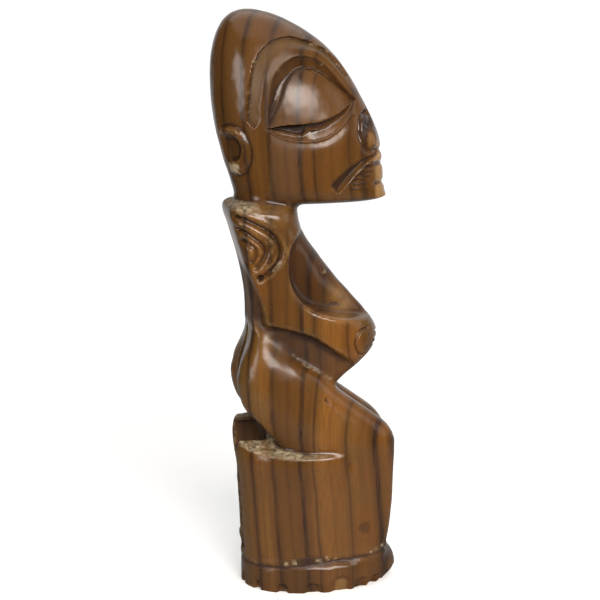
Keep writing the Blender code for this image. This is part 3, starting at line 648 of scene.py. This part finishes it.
        # Painted shade inside the mouth.
        self.mark(rough=0.8 * mouth, dark=0.9 * ease(0.0, 0.8, inside) * face)
        lip = [(f + 0.45, u - 0.75) for f, u in MOUTH_LOW]
        self.groove(lip, 1.6, -0.7, face)
        front = ease(18.5, 21.5, self.forward) * face
        for line in LIP_LINES:
            self.depth += 0.8 * np.exp(-(((self.up - line) / 1.1) ** 2)) * front
        for start, end in JAW_SCRATCHES:
            scratch = self.groove([start, end], 1.1, 0.35, face)
            # Painted shade in the scratches.
            self.mark(rough=scratch, dark=0.8 * scratch)

    def shoulder(self):
        where = ease(12, 14, self.side) * ease(119, 121, self.up) * ease(149, 147.5, self.up)
        self.groove(SHOULDER_EDGE, 1.3, 0.35, where)
        for arc, deep in zip(SHOULDER_GROOVES, (1.35, 1.2, 1.0)):
            self.fold(arc, 0.95, 1.35 * deep, where)
            # Painted shade in each fold's crease.
            crease = np.exp(-((self.away(arc) / 0.6) ** 2))
            self.mark(dark=0.4 * crease * where)
        # A painted light patch on the shoulder top.
        top = ease(140.5, 143, self.up) * ease(150.5, 149.5, self.up) * ease(8, 11, self.side)
        painted_light_patch = top * ease(-27, -22, self.forward) * ease(-10, -14, self.forward)
        self.mark(light=0.22 * painted_light_patch * (0.7 + 0.3 * self.waves([7, 3], 21)))
        pit = self.off((-24.3, 123.4))
        self.depth += 1.1 * ease(1.5, 0.5, pit) * where
        # Painted shade in the pit and the short groove.
        self.mark(dark=ease(1.6, 0.8, pit) * where)
        self.mark(dark=0.8 * self.groove([(-17.4, 129.4), (-20.6, 125.8)], 1.6, 0.2, where))
        chip = distance_to(np.array([(-19.2, 126.0), (-16.2, 129.6)]), self.at)
        self.mark(pale=0.8 * ease(0.55, 0.2, chip) * where)

    def chest(self):
        inner = ease(2, 4, self.side) * ease(104, 106, self.up) * ease(140, 138, self.up)
        cut = self.groove([(0.2, 124.6), (0.0, 123.0), (1.2, 121.6), (2.6, 121.2)], 1.1, 0.6, inner)
        smudge = self.off((5.4, 110.8), (3.6, 1.3)) + 0.3 * self.waves([4, 2], 24)
        smudge = ease(1.2, 0.4, smudge) * inner
        self.depth += 0.5 * smudge
        cut = np.maximum(cut, 0.8 * smudge)
        # Painted shade in the small gouge and the dip below it.
        self.mark(rough=cut, dark=0.8 * cut)
        nib = self.off((2.0, 122.9))
        self.depth -= 0.7 * ease(1.0, 0.3, nib) * inner
        # A painted light patch near the keel, in the chest hollow.
        painted_light_patch = self.blot((8.0, 112.5), (5.0, 6.5)) * (0.65 + 0.35 * self.waves([7, 3], 16))
        self.mark(pale=0.2 * ease(1.0, 0.5, nib) * inner, light=painted_light_patch * inner)

    def recesses(self):
        """Painted shade in the parts cut back behind the arms, under them and into the chest, between the
        thighs and in the seat's cleft; these parts are also dulled.
        """
        up = self.up
        chest = ease(0.0, 1.0, depth_inside(chest_outline(), self.at)) * (up < 142)
        arm_back = path_through(ARM_BACK)[::-1]
        edge = np.interp(up, arm_back[:, 1], arm_back[:, 0])
        rear = ease(0.2, -2.0, self.forward - edge) * ease(103, 108, up) * ease(147, 144, up)
        behind = rear * ease(3, 10, self.side)
        forearm = path_through(FOREARM_LOW)
        low = np.interp(self.forward, forearm[:, 0], forearm[:, 1])
        waist = ease(0.0, -0.8, up - low) * ease(0.0, 2.5, up - self.waist_floor())
        waist = waist * ease(15.5, 14.5, self.side)
        cleft = ease(5.4, 4.4, self.side) * ease(67, 65, up) * (self.forward < -17) * (up > 12)
        chest = chest * (1 - 0.8 * self.finish["light"])
        seam = ease(8.5, 4.0, self.side) * ease(3, 8, self.forward) * (up < 92) * (up > 10)
        hip = self.blot((-14, 95), (9, 8)) * (self.side > 10)
        dark = [0.62 * seam, 0.56 * chest, 0.76 * behind, 0.60 * waist, 0.60 * cleft]
        matte = [0.3 * hip, rear, 0.3 * cleft, 0.25 * waist]
        self.mark(dark=np.maximum.reduce(dark), matte=np.maximum.reduce(matte))

    def waist_floor(self):
        """The height of the top of the thigh under the waist."""
        rows = np.asarray(LEG, float)
        rows = rows[rows[:, 0] >= 61]
        return np.interp(-self.forward, -rows[:, 2], rows[:, 0])

    def hands(self):
        belly = ease(89, 91, self.up) * ease(105, 103.5, self.up)
        self.groove(HAND, 1.6, 1.0, belly * ease(4, 6, self.side))
        for finger in FINGERS:
            self.groove(finger, 1.4, 0.8, belly * ease(0.6, 1.4, self.side))
        middle = ease(1.6, 0.4, self.side) * ease(14, 18, self.forward)
        self.depth += 1.2 * middle * belly

    def back(self):
        furrow = ease(64, 68, self.up) * ease(104, 98, self.up) * ease(-18, -22, self.forward)
        self.depth += 2.2 * ease(2.0, 0.2, self.side) * furrow

    def toes(self):
        """Round-topped gouges along the lower edge of the foot band, all the way round, cut by eye."""
        sideways = self.points[:, 1]
        around = np.degrees(np.arctan2(sideways / BAND_HALF_WIDTH, self.forward / BAND_FRONT))
        radius = np.hypot(self.forward, sideways)
        source = np.random.default_rng(11)
        for middle in NOTCHES:
            off = np.abs((around - middle + 180) % 360 - 180)
            half, top = source.uniform(1.9, 2.8), source.uniform(3.6, 5.6)
            if middle == BIG_NOTCH:
                half, top = BIG_NOTCH_SIZE
            over = np.clip((self.up - (top - half)) / half, 0, None)
            edge = np.hypot(np.radians(off) * radius / half, over)
            scoop = ease(1.1, 0.45, edge) * (self.up < 9)
            self.depth += source.uniform(1.2, 1.8) * scoop
            # Painted shade towards each scoop's rim, and a painted highlight in the big notch.
            shine = ease(0.7, 0.3, edge) * (middle == BIG_NOTCH)
            self.mark(dark=0.45 * scoop * ease(0.5, 0.9, edge), light=0.5 * scoop * shine)

    def band(self):
        """The step over the foot band, with a ragged tool line along it."""
        wander = 0.07 * self.forward + 0.35 * self.waves([9, 4], 5)
        off, low = self.up - (BAND_HEIGHT + 0.8 + wander), self.up < BAND_ZONE
        line = ease(1.2, 0.1, np.abs(off)) * low
        self.depth += 0.75 * line * (0.8 + 0.4 * self.waves([4, 2], 6))
        self.depth -= 0.20 * ease(1.3, 0.2, np.abs(off - 1.9)) * low
        # Along the tool line a dark stripe, painted shade in the groove with stain; the band is also darker
        # low down.
        groove_stain_and_shade = (0.32 + 0.25 * self.waves([16, 7], 23)) * ease(1.1, 0.2, np.abs(off)) * low
        chips = ease(0.35, 0.7, self.waves([5, 2.2], 7)) * ease(1.6, 0.5, np.abs(off - 1.6))
        self.mark(dark=np.maximum(groove_stain_and_shade, 0.32 * ease(12.5, 10.0, self.up)), pale=0.9 * chips * low)
        self.mark(matte=0.2 * ease(3.0, 1.5, np.abs(off - 1.0)), rough=0.6 * line)

    def marks(self):
        """Stains, chips and nicks on the side that the photograph shows."""
        near = ease(6, 9, self.side) * self.right
        blot = self.waves([6, 3], 17)
        stain = self.off((-5, 12.8), (9.5, 2.0)) + 0.35 * blot
        self.mark(dark=0.75 * ease(1.1, 0.6, stain) * near)
        spot = self.off((15.8, 24.3), (2.7, 3.0)) + 0.35 * blot
        self.mark(dark=0.55 * ease(1.1, 0.6, spot) * near)
        for line, width in THIGH_CHIPS:
            chip = ease(width, 0.3 * width, distance_to(np.asarray(line, float), self.at) + 0.3 * blot)
            self.mark(pale=0.55 * chip * near * ease(-0.5, 0.3, self.waves([2.4], 22)))
        nick = self.groove([(0.2, 76.8), (1.0, 75.2)], 1.2, 0.3, near)
        self.mark(dark=nick, pale=0.5 * ease(0.6, 0.3, self.off((0, 42.2))) * near)

    def ledges(self):
        """The tool-cut tops of the seat and the top of the shoulders at the neck."""
        facing_up = ease(0.45, 0.8, self.normals[:, 2])
        seat = ease(52.5, 54, self.up) * ease(68, 67, self.up)
        seat = seat * (self.forward < 9) * ease(10, -18, self.forward)
        neck = ease(145.0, 147, self.up) * ease(151.5, 150, self.up)
        neck = neck * ease(-22.5, -26.5, self.forward + 1.5 * self.waves([6, 3], 12))
        rough = facing_up * np.maximum(seat, neck)
        patchy = ease(-0.5, 0.3, self.waves([9, 4], 8))
        self.mark(rough=rough, pale=(rough - 0.25 * facing_up * neck) * (0.35 + 0.65 * patchy))

    def uneven(self):
        """The slight unevenness of a hand-carved surface."""
        self.depth += 0.16 * self.waves([26, 14, 8], 1) + 0.05 * self.waves([4], 2)

    def run(self):
        for cut in (self.eye, self.ear, self.face, self.shoulder, self.chest, self.recesses, self.hands,
                    self.back, self.toes, self.band, self.marks, self.ledges, self.uneven):
            cut()
        moved = self.points.copy()
        moved[:, :2] -= self.outward * self.depth[:, None]
        moved[:, 2] += self.finish["rough"] * 0.22 * self.waves([3.2, 1.8], 9)
        return moved


def read_turned(items, name, unit):
    raw = np.empty(len(items) * 3)
    items.foreach_get(name, raw)
    raw = raw.reshape(-1, 3) / unit
    return np.stack([-raw[:, 1], raw[:, 0], raw[:, 2]], axis=1)


def read_points(mesh):
    return read_turned(mesh.vertices, "co", UNIT)


def read_normals(mesh):
    return read_turned(mesh.vertex_normals, "vector", 1.0)


def read_edges(mesh):
    edges = np.empty(len(mesh.edges) * 2, np.int64)
    mesh.edges.foreach_get("vertices", edges)
    return edges.reshape(-1, 2)


def write_points(mesh, points):
    mesh.vertices.foreach_set("co", to_world(points).astype(np.float32).ravel())
    mesh.update()


def level(normals):
    """Unit normals laid level, as (forward, side). They fade where the skin faces up or down."""
    flat = normals[:, :2]
    length = np.linalg.norm(flat, axis=1)[:, None]
    return flat / np.maximum(length, 0.35)


def saw_flat(thing):
    """Saw the block off flat at the floor."""
    work = bmesh.new()
    work.from_mesh(thing.data)
    every = work.verts[:] + work.edges[:] + work.faces[:]
    cut = bmesh.ops.bisect_plane(work, geom=every, plane_co=(0, 0, 0), plane_no=(0, 0, 1), clear_inner=True)
    rim = [item for item in cut["geom_cut"] if isinstance(item, bmesh.types.BMEdge)]
    bmesh.ops.holes_fill(work, edges=rim, sides=0)
    bmesh.ops.triangulate(work, faces=work.faces[:])
    bmesh.ops.recalc_face_normals(work, faces=work.faces[:])
    work.to_mesh(thing.data)
    work.free()


def averaged(values, edges, rounds):
    """Values evened out between neighbouring points, round by round."""
    ends = np.concatenate([edges[:, 0], edges[:, 1]])
    others = np.concatenate([edges[:, 1], edges[:, 0]])
    count = np.maximum(np.bincount(ends, minlength=len(values)), 1)
    for _ in range(rounds):
        values = np.stack(
            [np.bincount(ends, weights=column[others], minlength=len(values)) / count for column in values.T],
            axis=1,
        )
    return values


def hollows(mesh):
    """How far each point lies under the surface round it, in millimetres, near by and further off."""
    points, normals = read_points(mesh), read_normals(mesh)
    edges = read_edges(mesh)
    near = averaged(points, edges, NEAR_ROUNDS)
    far = averaged(near, edges, FAR_ROUNDS)
    close = np.einsum("ij,ij->i", near - points, normals)
    wide = np.einsum("ij,ij->i", far - points, normals)
    return close, wide


def soften(mesh, rounds):
    """Rub the small of the back and the hips smooth, where the roughed-out bodies meet."""
    points = read_points(mesh)
    forward, up = points[:, 0], points[:, 2]
    share = ease(-10, -16, forward) * ease(82, 88, up) * ease(104.5, 101, up)
    rubbed = averaged(points, read_edges(mesh), rounds)
    write_points(mesh, points + (rubbed - points) * share[:, None])


def add_value(mesh, name, values):
    layer = mesh.attributes.new(name, "FLOAT", "POINT")
    layer.data.foreach_set("value", values.astype(np.float32))


def carved_tiki():
    tiki = blank()
    fuse(tiki, VOXEL)
    cut_away(tiki, seat_cleft())
    fuse(tiki, VOXEL)
    smooth(tiki, SMOOTH_ROUNDS)
    soften(tiki.data, SOFTEN_ROUNDS)
    refine(tiki, SOFT_REACH, FINE_LINES + SOFT_LINES, TOE_ZONE)
    refine(tiki, FINE_REACH, FINE_LINES)
    carver = Carver(read_points(tiki.data), read_normals(tiki.data))
    write_points(tiki.data, carver.run())
    for name, share in carver.finish.items():
        add_value(tiki.data, name, share)
    saw_flat(tiki)
    close, wide = hollows(tiki.data)
    add_value(tiki.data, "crease", close)
    add_value(tiki.data, "hollow", wide)
    tiki.data.shade_smooth()
    return tiki


class Graph:
    """Short names for building a material from nodes."""

    def __init__(self, name):
        self.material = bpy.data.materials.new(name)
        self.material.use_nodes = True
        self.tree = self.material.node_tree
        self.shader = self.tree.nodes["Principled BSDF"]

    def node(self, kind, **settings):
        made = self.tree.nodes.new(kind)
        for key, value in settings.items():
            setattr(made, key, value)
        return made

    def feed(self, socket, value):
        if isinstance(value, bpy.types.NodeSocket):
            self.tree.links.new(value, socket)
        else:
            socket.default_value = value

    def put(self, node, values):
        """Fill a node's inputs, by name or place, with values or other nodes' outputs."""
        for key, value in values.items():
            self.feed(node.inputs[key], value)
        return node.outputs[0]

    def math(self, operation, *values):
        return self.put(self.node("ShaderNodeMath", operation=operation), dict(enumerate(values)))

    def gap(self, a, b):
        return self.math("ABSOLUTE", self.math("SUBTRACT", a, b))

    def times(self, a, b):
        return self.math("MULTIPLY", a, b)

    def rise(self, value, start, end, low=0.0, high=1.0):
        made = self.node("ShaderNodeMapRange", interpolation_type="SMOOTHSTEP")
        return self.put(made, dict(enumerate((value, start, end, low, high))))

    def mix(self, share, a, b):
        made = self.node("ShaderNodeMix", data_type="RGBA")
        self.put(made, {0: share, 6: a, 7: b})
        return made.outputs[2]

    def noise(self, place, size, detail=2.0, rough=0.5):
        values = {"Vector": place, "Scale": size, "Detail": detail, "Roughness": rough}
        return self.put(self.node("ShaderNodeTexNoise"), values)

    def scaled(self, place, factors):
        return self.put(self.node("ShaderNodeVectorMath", operation="MULTIPLY"), {0: place, 1: factors})

    def value(self, name):
        return self.node("ShaderNodeAttribute", attribute_name=name).outputs["Fac"]


# Growth lines of the wood: (place across the grain in millimetres, half width, darkness).
GRAIN_LINES = [
    (-37.5, 0.8, 0.50), (-30, 1.1, 0.65), (-20.6, 1.3, 0.90), (-16.6, 0.6, 0.25), (-10.6, 1.7, 0.80),
    (-4.4, 0.8, 0.35), (1, 1.6, 0.95), (6, 0.8, 0.70), (12.4, 0.6, 0.22), (18.4, 0.9, 0.60), (29, 1.5, 0.90),
    (34.6, 0.9, 0.60), (40, 1, 0.6),
]
FACE_LINE = 22.8  # one more line, on the head only
GRAIN_SLANT = -0.55  # the block's side sits askew to the growth lines
GRAIN_LEAN = -0.06  # the growth lines lean forward towards the foot
BROWN = (0.150, 0.064, 0.0130, 1)
BROWN_RED = (0.138, 0.049, 0.0095, 1)
BROWN_DEEP = (0.074, 0.032, 0.0080, 1)
GRAIN_DARK = (0.016, 0.009, 0.006, 1)
TAN = (0.36, 0.21, 0.078, 1)
AMBER = (0.184, 0.077, 0.0155, 1)
OLIVE = (0.098, 0.056, 0.0165, 1)
RAW = (0.42, 0.35, 0.22, 1)
# Painted shade and stain: the colour that hollows, creases, cuts and stains are darkened towards.
STAIN_AND_SHADE = (0.020, 0.0095, 0.0060, 1)
VARNISH = {"Specular IOR Level": 0.27, "Coat Weight": 0.08, "Coat Roughness": 0.16}
# Heights of the relief, in metres.
TORN, SMOOTH_CUT, RIPPLE, FIBRE = 0.00036, 0.00002, 0.00007, 0.000015
# Broad bands of the wood: (place across the grain, half width, share, colour).
BROAD_BANDS = [
    (-26, 5, 0.45, OLIVE), (-5, 7, 0.62, BROWN_DEEP), (12.5, 6.5, 0.40, AMBER), (32, 2.4, 0.50, AMBER),
]


def wood():
    g = Graph("varnished striped wood")
    place = g.scaled(g.node("ShaderNodeTexCoord").outputs["Object"], (1000, 1000, 1000))
    parts = g.node("ShaderNodeSeparateXYZ")
    g.feed(parts.inputs[0], place)
    side, backward, up = parts.outputs

    # Place across the grain, with the slow wander and the fine shake of real growth lines.
    wander = g.math("MULTIPLY_ADD", g.noise(g.scaled(place, (0.4, 0.4, 1)), 0.018, 1.0), 4.0, -2.0)
    shake = g.math("MULTIPLY_ADD", g.noise(g.scaled(place, (1, 1, 0.2)), 0.5), 0.8, -0.4)
    slant = g.times(side, GRAIN_SLANT)
    lean = g.times(g.math("MAXIMUM", g.math("SUBTRACT", 60.0, up), 0.0), GRAIN_LEAN)
    level_place = g.math("ADD", g.math("SUBTRACT", slant, backward), lean)
    across = g.math("ADD", level_place, g.math("ADD", wander, shake))

    # Broad bands of tone between the growth lines.
    bands = g.put(g.node("ShaderNodeCombineXYZ"), {0: across, 2: g.times(up, 0.04)})
    tone = g.noise(bands, 0.16)
    colour = g.mix(g.rise(tone, 0.38, 0.62), BROWN_DEEP, BROWN)
    blotch = g.noise(g.scaled(place, (1, 1, 0.45)), 0.09)
    colour = g.mix(g.rise(blotch, 0.45, 0.66, 0.0, 0.5), colour, BROWN_RED)
    colour = g.mix(g.rise(g.noise(place, 0.05), 0.48, 0.70, 0.0, 0.55), colour, OLIVE)
    for middle, half, share, shade in BROAD_BANDS:
        near = g.rise(g.gap(across, middle), half, 0.35 * half, 0.0, share)
        colour = g.mix(near, colour, shade)

    # Darker over the head and low on the seat.
    darker_head_and_seat = g.math("MAXIMUM", g.rise(up, 138, 151, 0.0, 0.60), g.rise(up, 64, 50, 0.0, 0.44))
    colour = g.mix(darker_head_and_seat, colour, BROWN_DEEP)

    # Growth lines: a dark core with a soft shoulder.
    lines = None
    for middle, half, dark in GRAIN_LINES:
        away = g.gap(across, middle)
        core = g.rise(away, half, 0.25 * half, 0.0, dark)
        shoulder = g.rise(away, 2.6 * half, 0.4 * half, 0.0, 0.38 * dark)
        line = g.math("MAXIMUM", core, shoulder)
        lines = line if lines is None else g.math("MAXIMUM", lines, line)
    away = g.gap(across, FACE_LINE)
    brow = g.times(g.rise(up, 145, 149), g.rise(away, 1.6, 0.3))
    lines = g.math("MAXIMUM", lines, g.times(brow, 0.85))
    broken = g.rise(g.noise(g.scaled(place, (1, 1, 0.18)), 0.22), 0.32, 0.62, 0.74, 1.0)
    colour = g.mix(g.times(lines, broken), colour, GRAIN_DARK)

    # Fibres and pores run up and down.
    fibres = g.noise(g.scaled(place, (1, 1, 0.035)), 2.2, 3.0, 0.6)
    colour = g.mix(g.rise(fibres, 0.40, 0.68, 0.0, 0.50), colour, BROWN_DEEP)
    pores = g.noise(g.scaled(place, (1, 1, 0.12)), 4.6, 2.0, 0.6)
    colour = g.mix(g.rise(pores, 0.60, 0.70, 0.0, 0.35), colour, GRAIN_DARK)

    # Paler down the front of the face.
    face = g.times(g.rise(across, 25.6, 26.8), g.rise(up, 146, 150))
    colour = g.mix(g.times(face, 0.58), colour, TAN)

    # Painted shade, with gathered varnish, in the hollows and creases; painted shade and stains at the carved
    # marks; raw wood where the tool tore or an edge chipped; a painted highlight along convex edges.
    crease, hollow = g.value("crease"), g.value("hollow")
    rough, pale = g.value("rough"), g.value("pale")
    colour = g.mix(g.times(g.value("worn"), 0.45), colour, OLIVE)
    # Painted light: patches on the shoulder top and in the chest hollow, highlights on the nostril and in the
    # big toe notch.
    colour = g.mix(g.times(g.value("light"), 0.6), colour, TAN)
    # Painted shade in the hollows and creases, with gathered varnish.
    colour = g.mix(g.rise(hollow, 0.6, 3.6, 0.0, 0.75), colour, STAIN_AND_SHADE)
    colour = g.mix(g.rise(crease, 0.06, 0.42, 0.0, 0.80), colour, STAIN_AND_SHADE)
    # The carved marks' painted shade, and real stains.
    colour = g.mix(g.times(g.value("dark"), 0.93), colour, STAIN_AND_SHADE)
    patch = g.rise(g.noise(place, 0.55, 3.0, 0.65), 0.36, 0.62)
    colour = g.mix(g.times(pale, g.math("MULTIPLY_ADD", patch, 0.7, 0.15)), colour, RAW)
    # A painted highlight along the convex edges.
    edge = g.times(g.rise(crease, -0.20, -0.60), g.rise(patch, 0.3, 0.7))
    colour = g.mix(g.times(edge, 0.22), colour, TAN)

    # The varnish: glossy on the rubbed faces, dull in the rough cuts.
    smear = g.noise(place, 0.16, 3.0)
    gloss = g.math("MULTIPLY_ADD", smear, 0.10, 0.17)
    dull = g.math("MULTIPLY_ADD", rough, 0.28, g.math("MULTIPLY_ADD", pale, 0.2, gloss))
    dull = g.math("MINIMUM", g.math("MULTIPLY_ADD", g.value("matte"), 0.70, dull), 0.95)

    # Fibres, brush marks and tool marks as relief, in metres.
    marks = g.noise(g.scaled(place, (1.0, 1.0, 0.4)), 1.1, 4.0, 0.6)
    torn = g.times(marks, g.math("MULTIPLY_ADD", rough, TORN, SMOOTH_CUT))
    ripple = g.times(g.noise(g.scaled(place, (1, 1, 0.25)), 0.30), RIPPLE)
    fine = g.times(fibres, FIBRE)
    height = g.math("ADD", torn, g.math("ADD", ripple, fine))
    relief = g.put(g.node("ShaderNodeBump"), {"Strength": 1.0, "Distance": 1.0, "Height": height})
    g.put(g.shader, {"Base Color": colour, "Roughness": dull, "Normal": relief, **VARNISH})
    return g.material


FLOOR_RADIUS = 0.27
FLOOR_MIDDLE = (0.10, 0.0, 0.0)
# The backdrop's light along X and along Y: from and to, and the strength at each. And how bright it is seen.
BACKDROP = [(-0.1, 0.7, 0.03, 0.66), (0.05, 0.6, 1.0, 0.06)]
BACKDROP_SEEN = 1.05
# Soft panels: name, place, where it looks, size, power in watts, colour and spread in degrees.
PANELS = [
    ("panel_near", (-0.82, -0.17, 0.50), (0, 0, 0.15), (0.66, 0.36), 2.7, (1, 0.92, 0.86), 74),
    ("panel_left", (-0.52, 0.68, 0.26), (0, 0, 0.12), (0.24, 0.56), 3.2, (1, 1, 1), 180),
    ("panel_front", (-0.30, -0.95, 0.45), (0, 0, 0.12), (0.5, 0.6), 1.2, (1, 1, 1), 180),
    ("panel_top", (0.10, 0.0, 1.1), (0, 0, 0.1), (1.5, 1.5), 8.0, (1, 1, 1), 180),
]


def floor():
    bpy.ops.mesh.primitive_circle_add(
        vertices=96, radius=FLOOR_RADIUS, fill_type="NGON", location=FLOOR_MIDDLE)
    ground = bpy.context.object
    ground.name = "floor"
    g = Graph("pale paper")
    place = g.node("ShaderNodeTexCoord").outputs["Object"]
    paper = g.mix(g.noise(place, 60.0), (0.86, 0.86, 0.85, 1), (0.90, 0.90, 0.89, 1))
    mirrored = g.times(g.node("ShaderNodeLightPath").outputs["Is Glossy Ray"], 0.8)
    off = g.node("ShaderNodeVectorMath", operation="LENGTH")
    g.feed(off.inputs[0], place)
    glow = g.rise(off.outputs["Value"], 0.12, FLOOR_RADIUS, 0.20, 0.50)
    g.put(g.shader, {
        "Base Color": g.mix(mirrored, paper, (0, 0, 0, 1)),
        "Roughness": 0.7,
        "Emission Color": (1, 1, 1, 1),
        "Emission Strength": g.times(glow, g.math("SUBTRACT", 1.0, mirrored)),
    })
    ground.data.materials.append(g.material)


def panel(name, place, aim, size, power, colour, spread):
    """A soft light panel. A narrow spread fades its edges in what mirrors it."""
    light = bpy.data.lights.new(name, "AREA")
    light.shape = "RECTANGLE"
    light.size, light.size_y = size
    light.energy = power
    light.color = colour
    light.spread = math.radians(spread)
    holder = bpy.data.objects.new(name, light)
    holder.location = place
    holder.rotation_euler = (Vector(aim) - Vector(place)).to_track_quat("-Z", "Y").to_euler()
    bpy.context.scene.collection.objects.link(holder)


CAMERA_BEHIND = math.radians(10.5)  # how far round behind the pure side view
CAMERA_PITCH = math.radians(12.0)
CAMERA_DISTANCE = 0.56
CAMERA_LENS = 87.77
CAMERA_SHIFT = (-0.0267, 0.0125)
LOOK_AT = Vector((0, 0, 0.108))


def camera():
    made = bpy.data.cameras.new("camera")
    made.lens = CAMERA_LENS
    made.sensor_width = 36.0
    made.clip_start = 0.01
    made.shift_x, made.shift_y = CAMERA_SHIFT
    holder = bpy.data.objects.new("camera", made)
    level_part = math.cos(CAMERA_PITCH)
    back = Vector((-math.cos(CAMERA_BEHIND) * level_part, math.sin(CAMERA_BEHIND) * level_part,
                   math.sin(CAMERA_PITCH)))
    holder.location = LOOK_AT + back * CAMERA_DISTANCE
    holder.rotation_euler = (-back).to_track_quat("-Z", "Y").to_euler()
    bpy.context.scene.collection.objects.link(holder)
    bpy.context.scene.camera = holder


def studio():
    """A white backdrop that lights less from the near side and from behind the figure, and soft panels."""
    world = bpy.data.worlds.new("studio")
    world.use_nodes = True
    tree = world.node_tree
    new, link = tree.nodes.new, tree.links.new
    seen = tree.nodes["Background"]
    seen.inputs["Color"].default_value = (1, 1, 1, 1)
    place = new("ShaderNodeTexCoord")
    parts = new("ShaderNodeSeparateXYZ")
    link(place.outputs["Generated"], parts.inputs[0])
    both = new("ShaderNodeMath")
    both.operation = "MULTIPLY"
    for axis, limits in enumerate(BACKDROP):
        ramp = new("ShaderNodeMapRange")
        for name, value in zip(("From Min", "From Max", "To Min", "To Max"), limits):
            ramp.inputs[name].default_value = value
        link(parts.outputs[axis], ramp.inputs["Value"])
        link(ramp.outputs[0], both.inputs[axis])
    path = new("ShaderNodeLightPath")
    strength = new("ShaderNodeMix")
    strength.inputs["B"].default_value = BACKDROP_SEEN
    link(path.outputs["Is Camera Ray"], strength.inputs["Factor"])
    link(both.outputs[0], strength.inputs["A"])
    link(strength.outputs[0], seen.inputs["Strength"])
    bpy.context.scene.world = world
    for row in PANELS:
        panel(*row)
    bpy.context.scene.view_settings.view_transform = "Standard"


def build():
    tiki = carved_tiki()
    tiki.data.materials.append(wood())
    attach(tiki, "root")
    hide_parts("tiki")
    print("triangles", len(tiki.data.polygons))
    floor()
    studio()
    camera()


build()
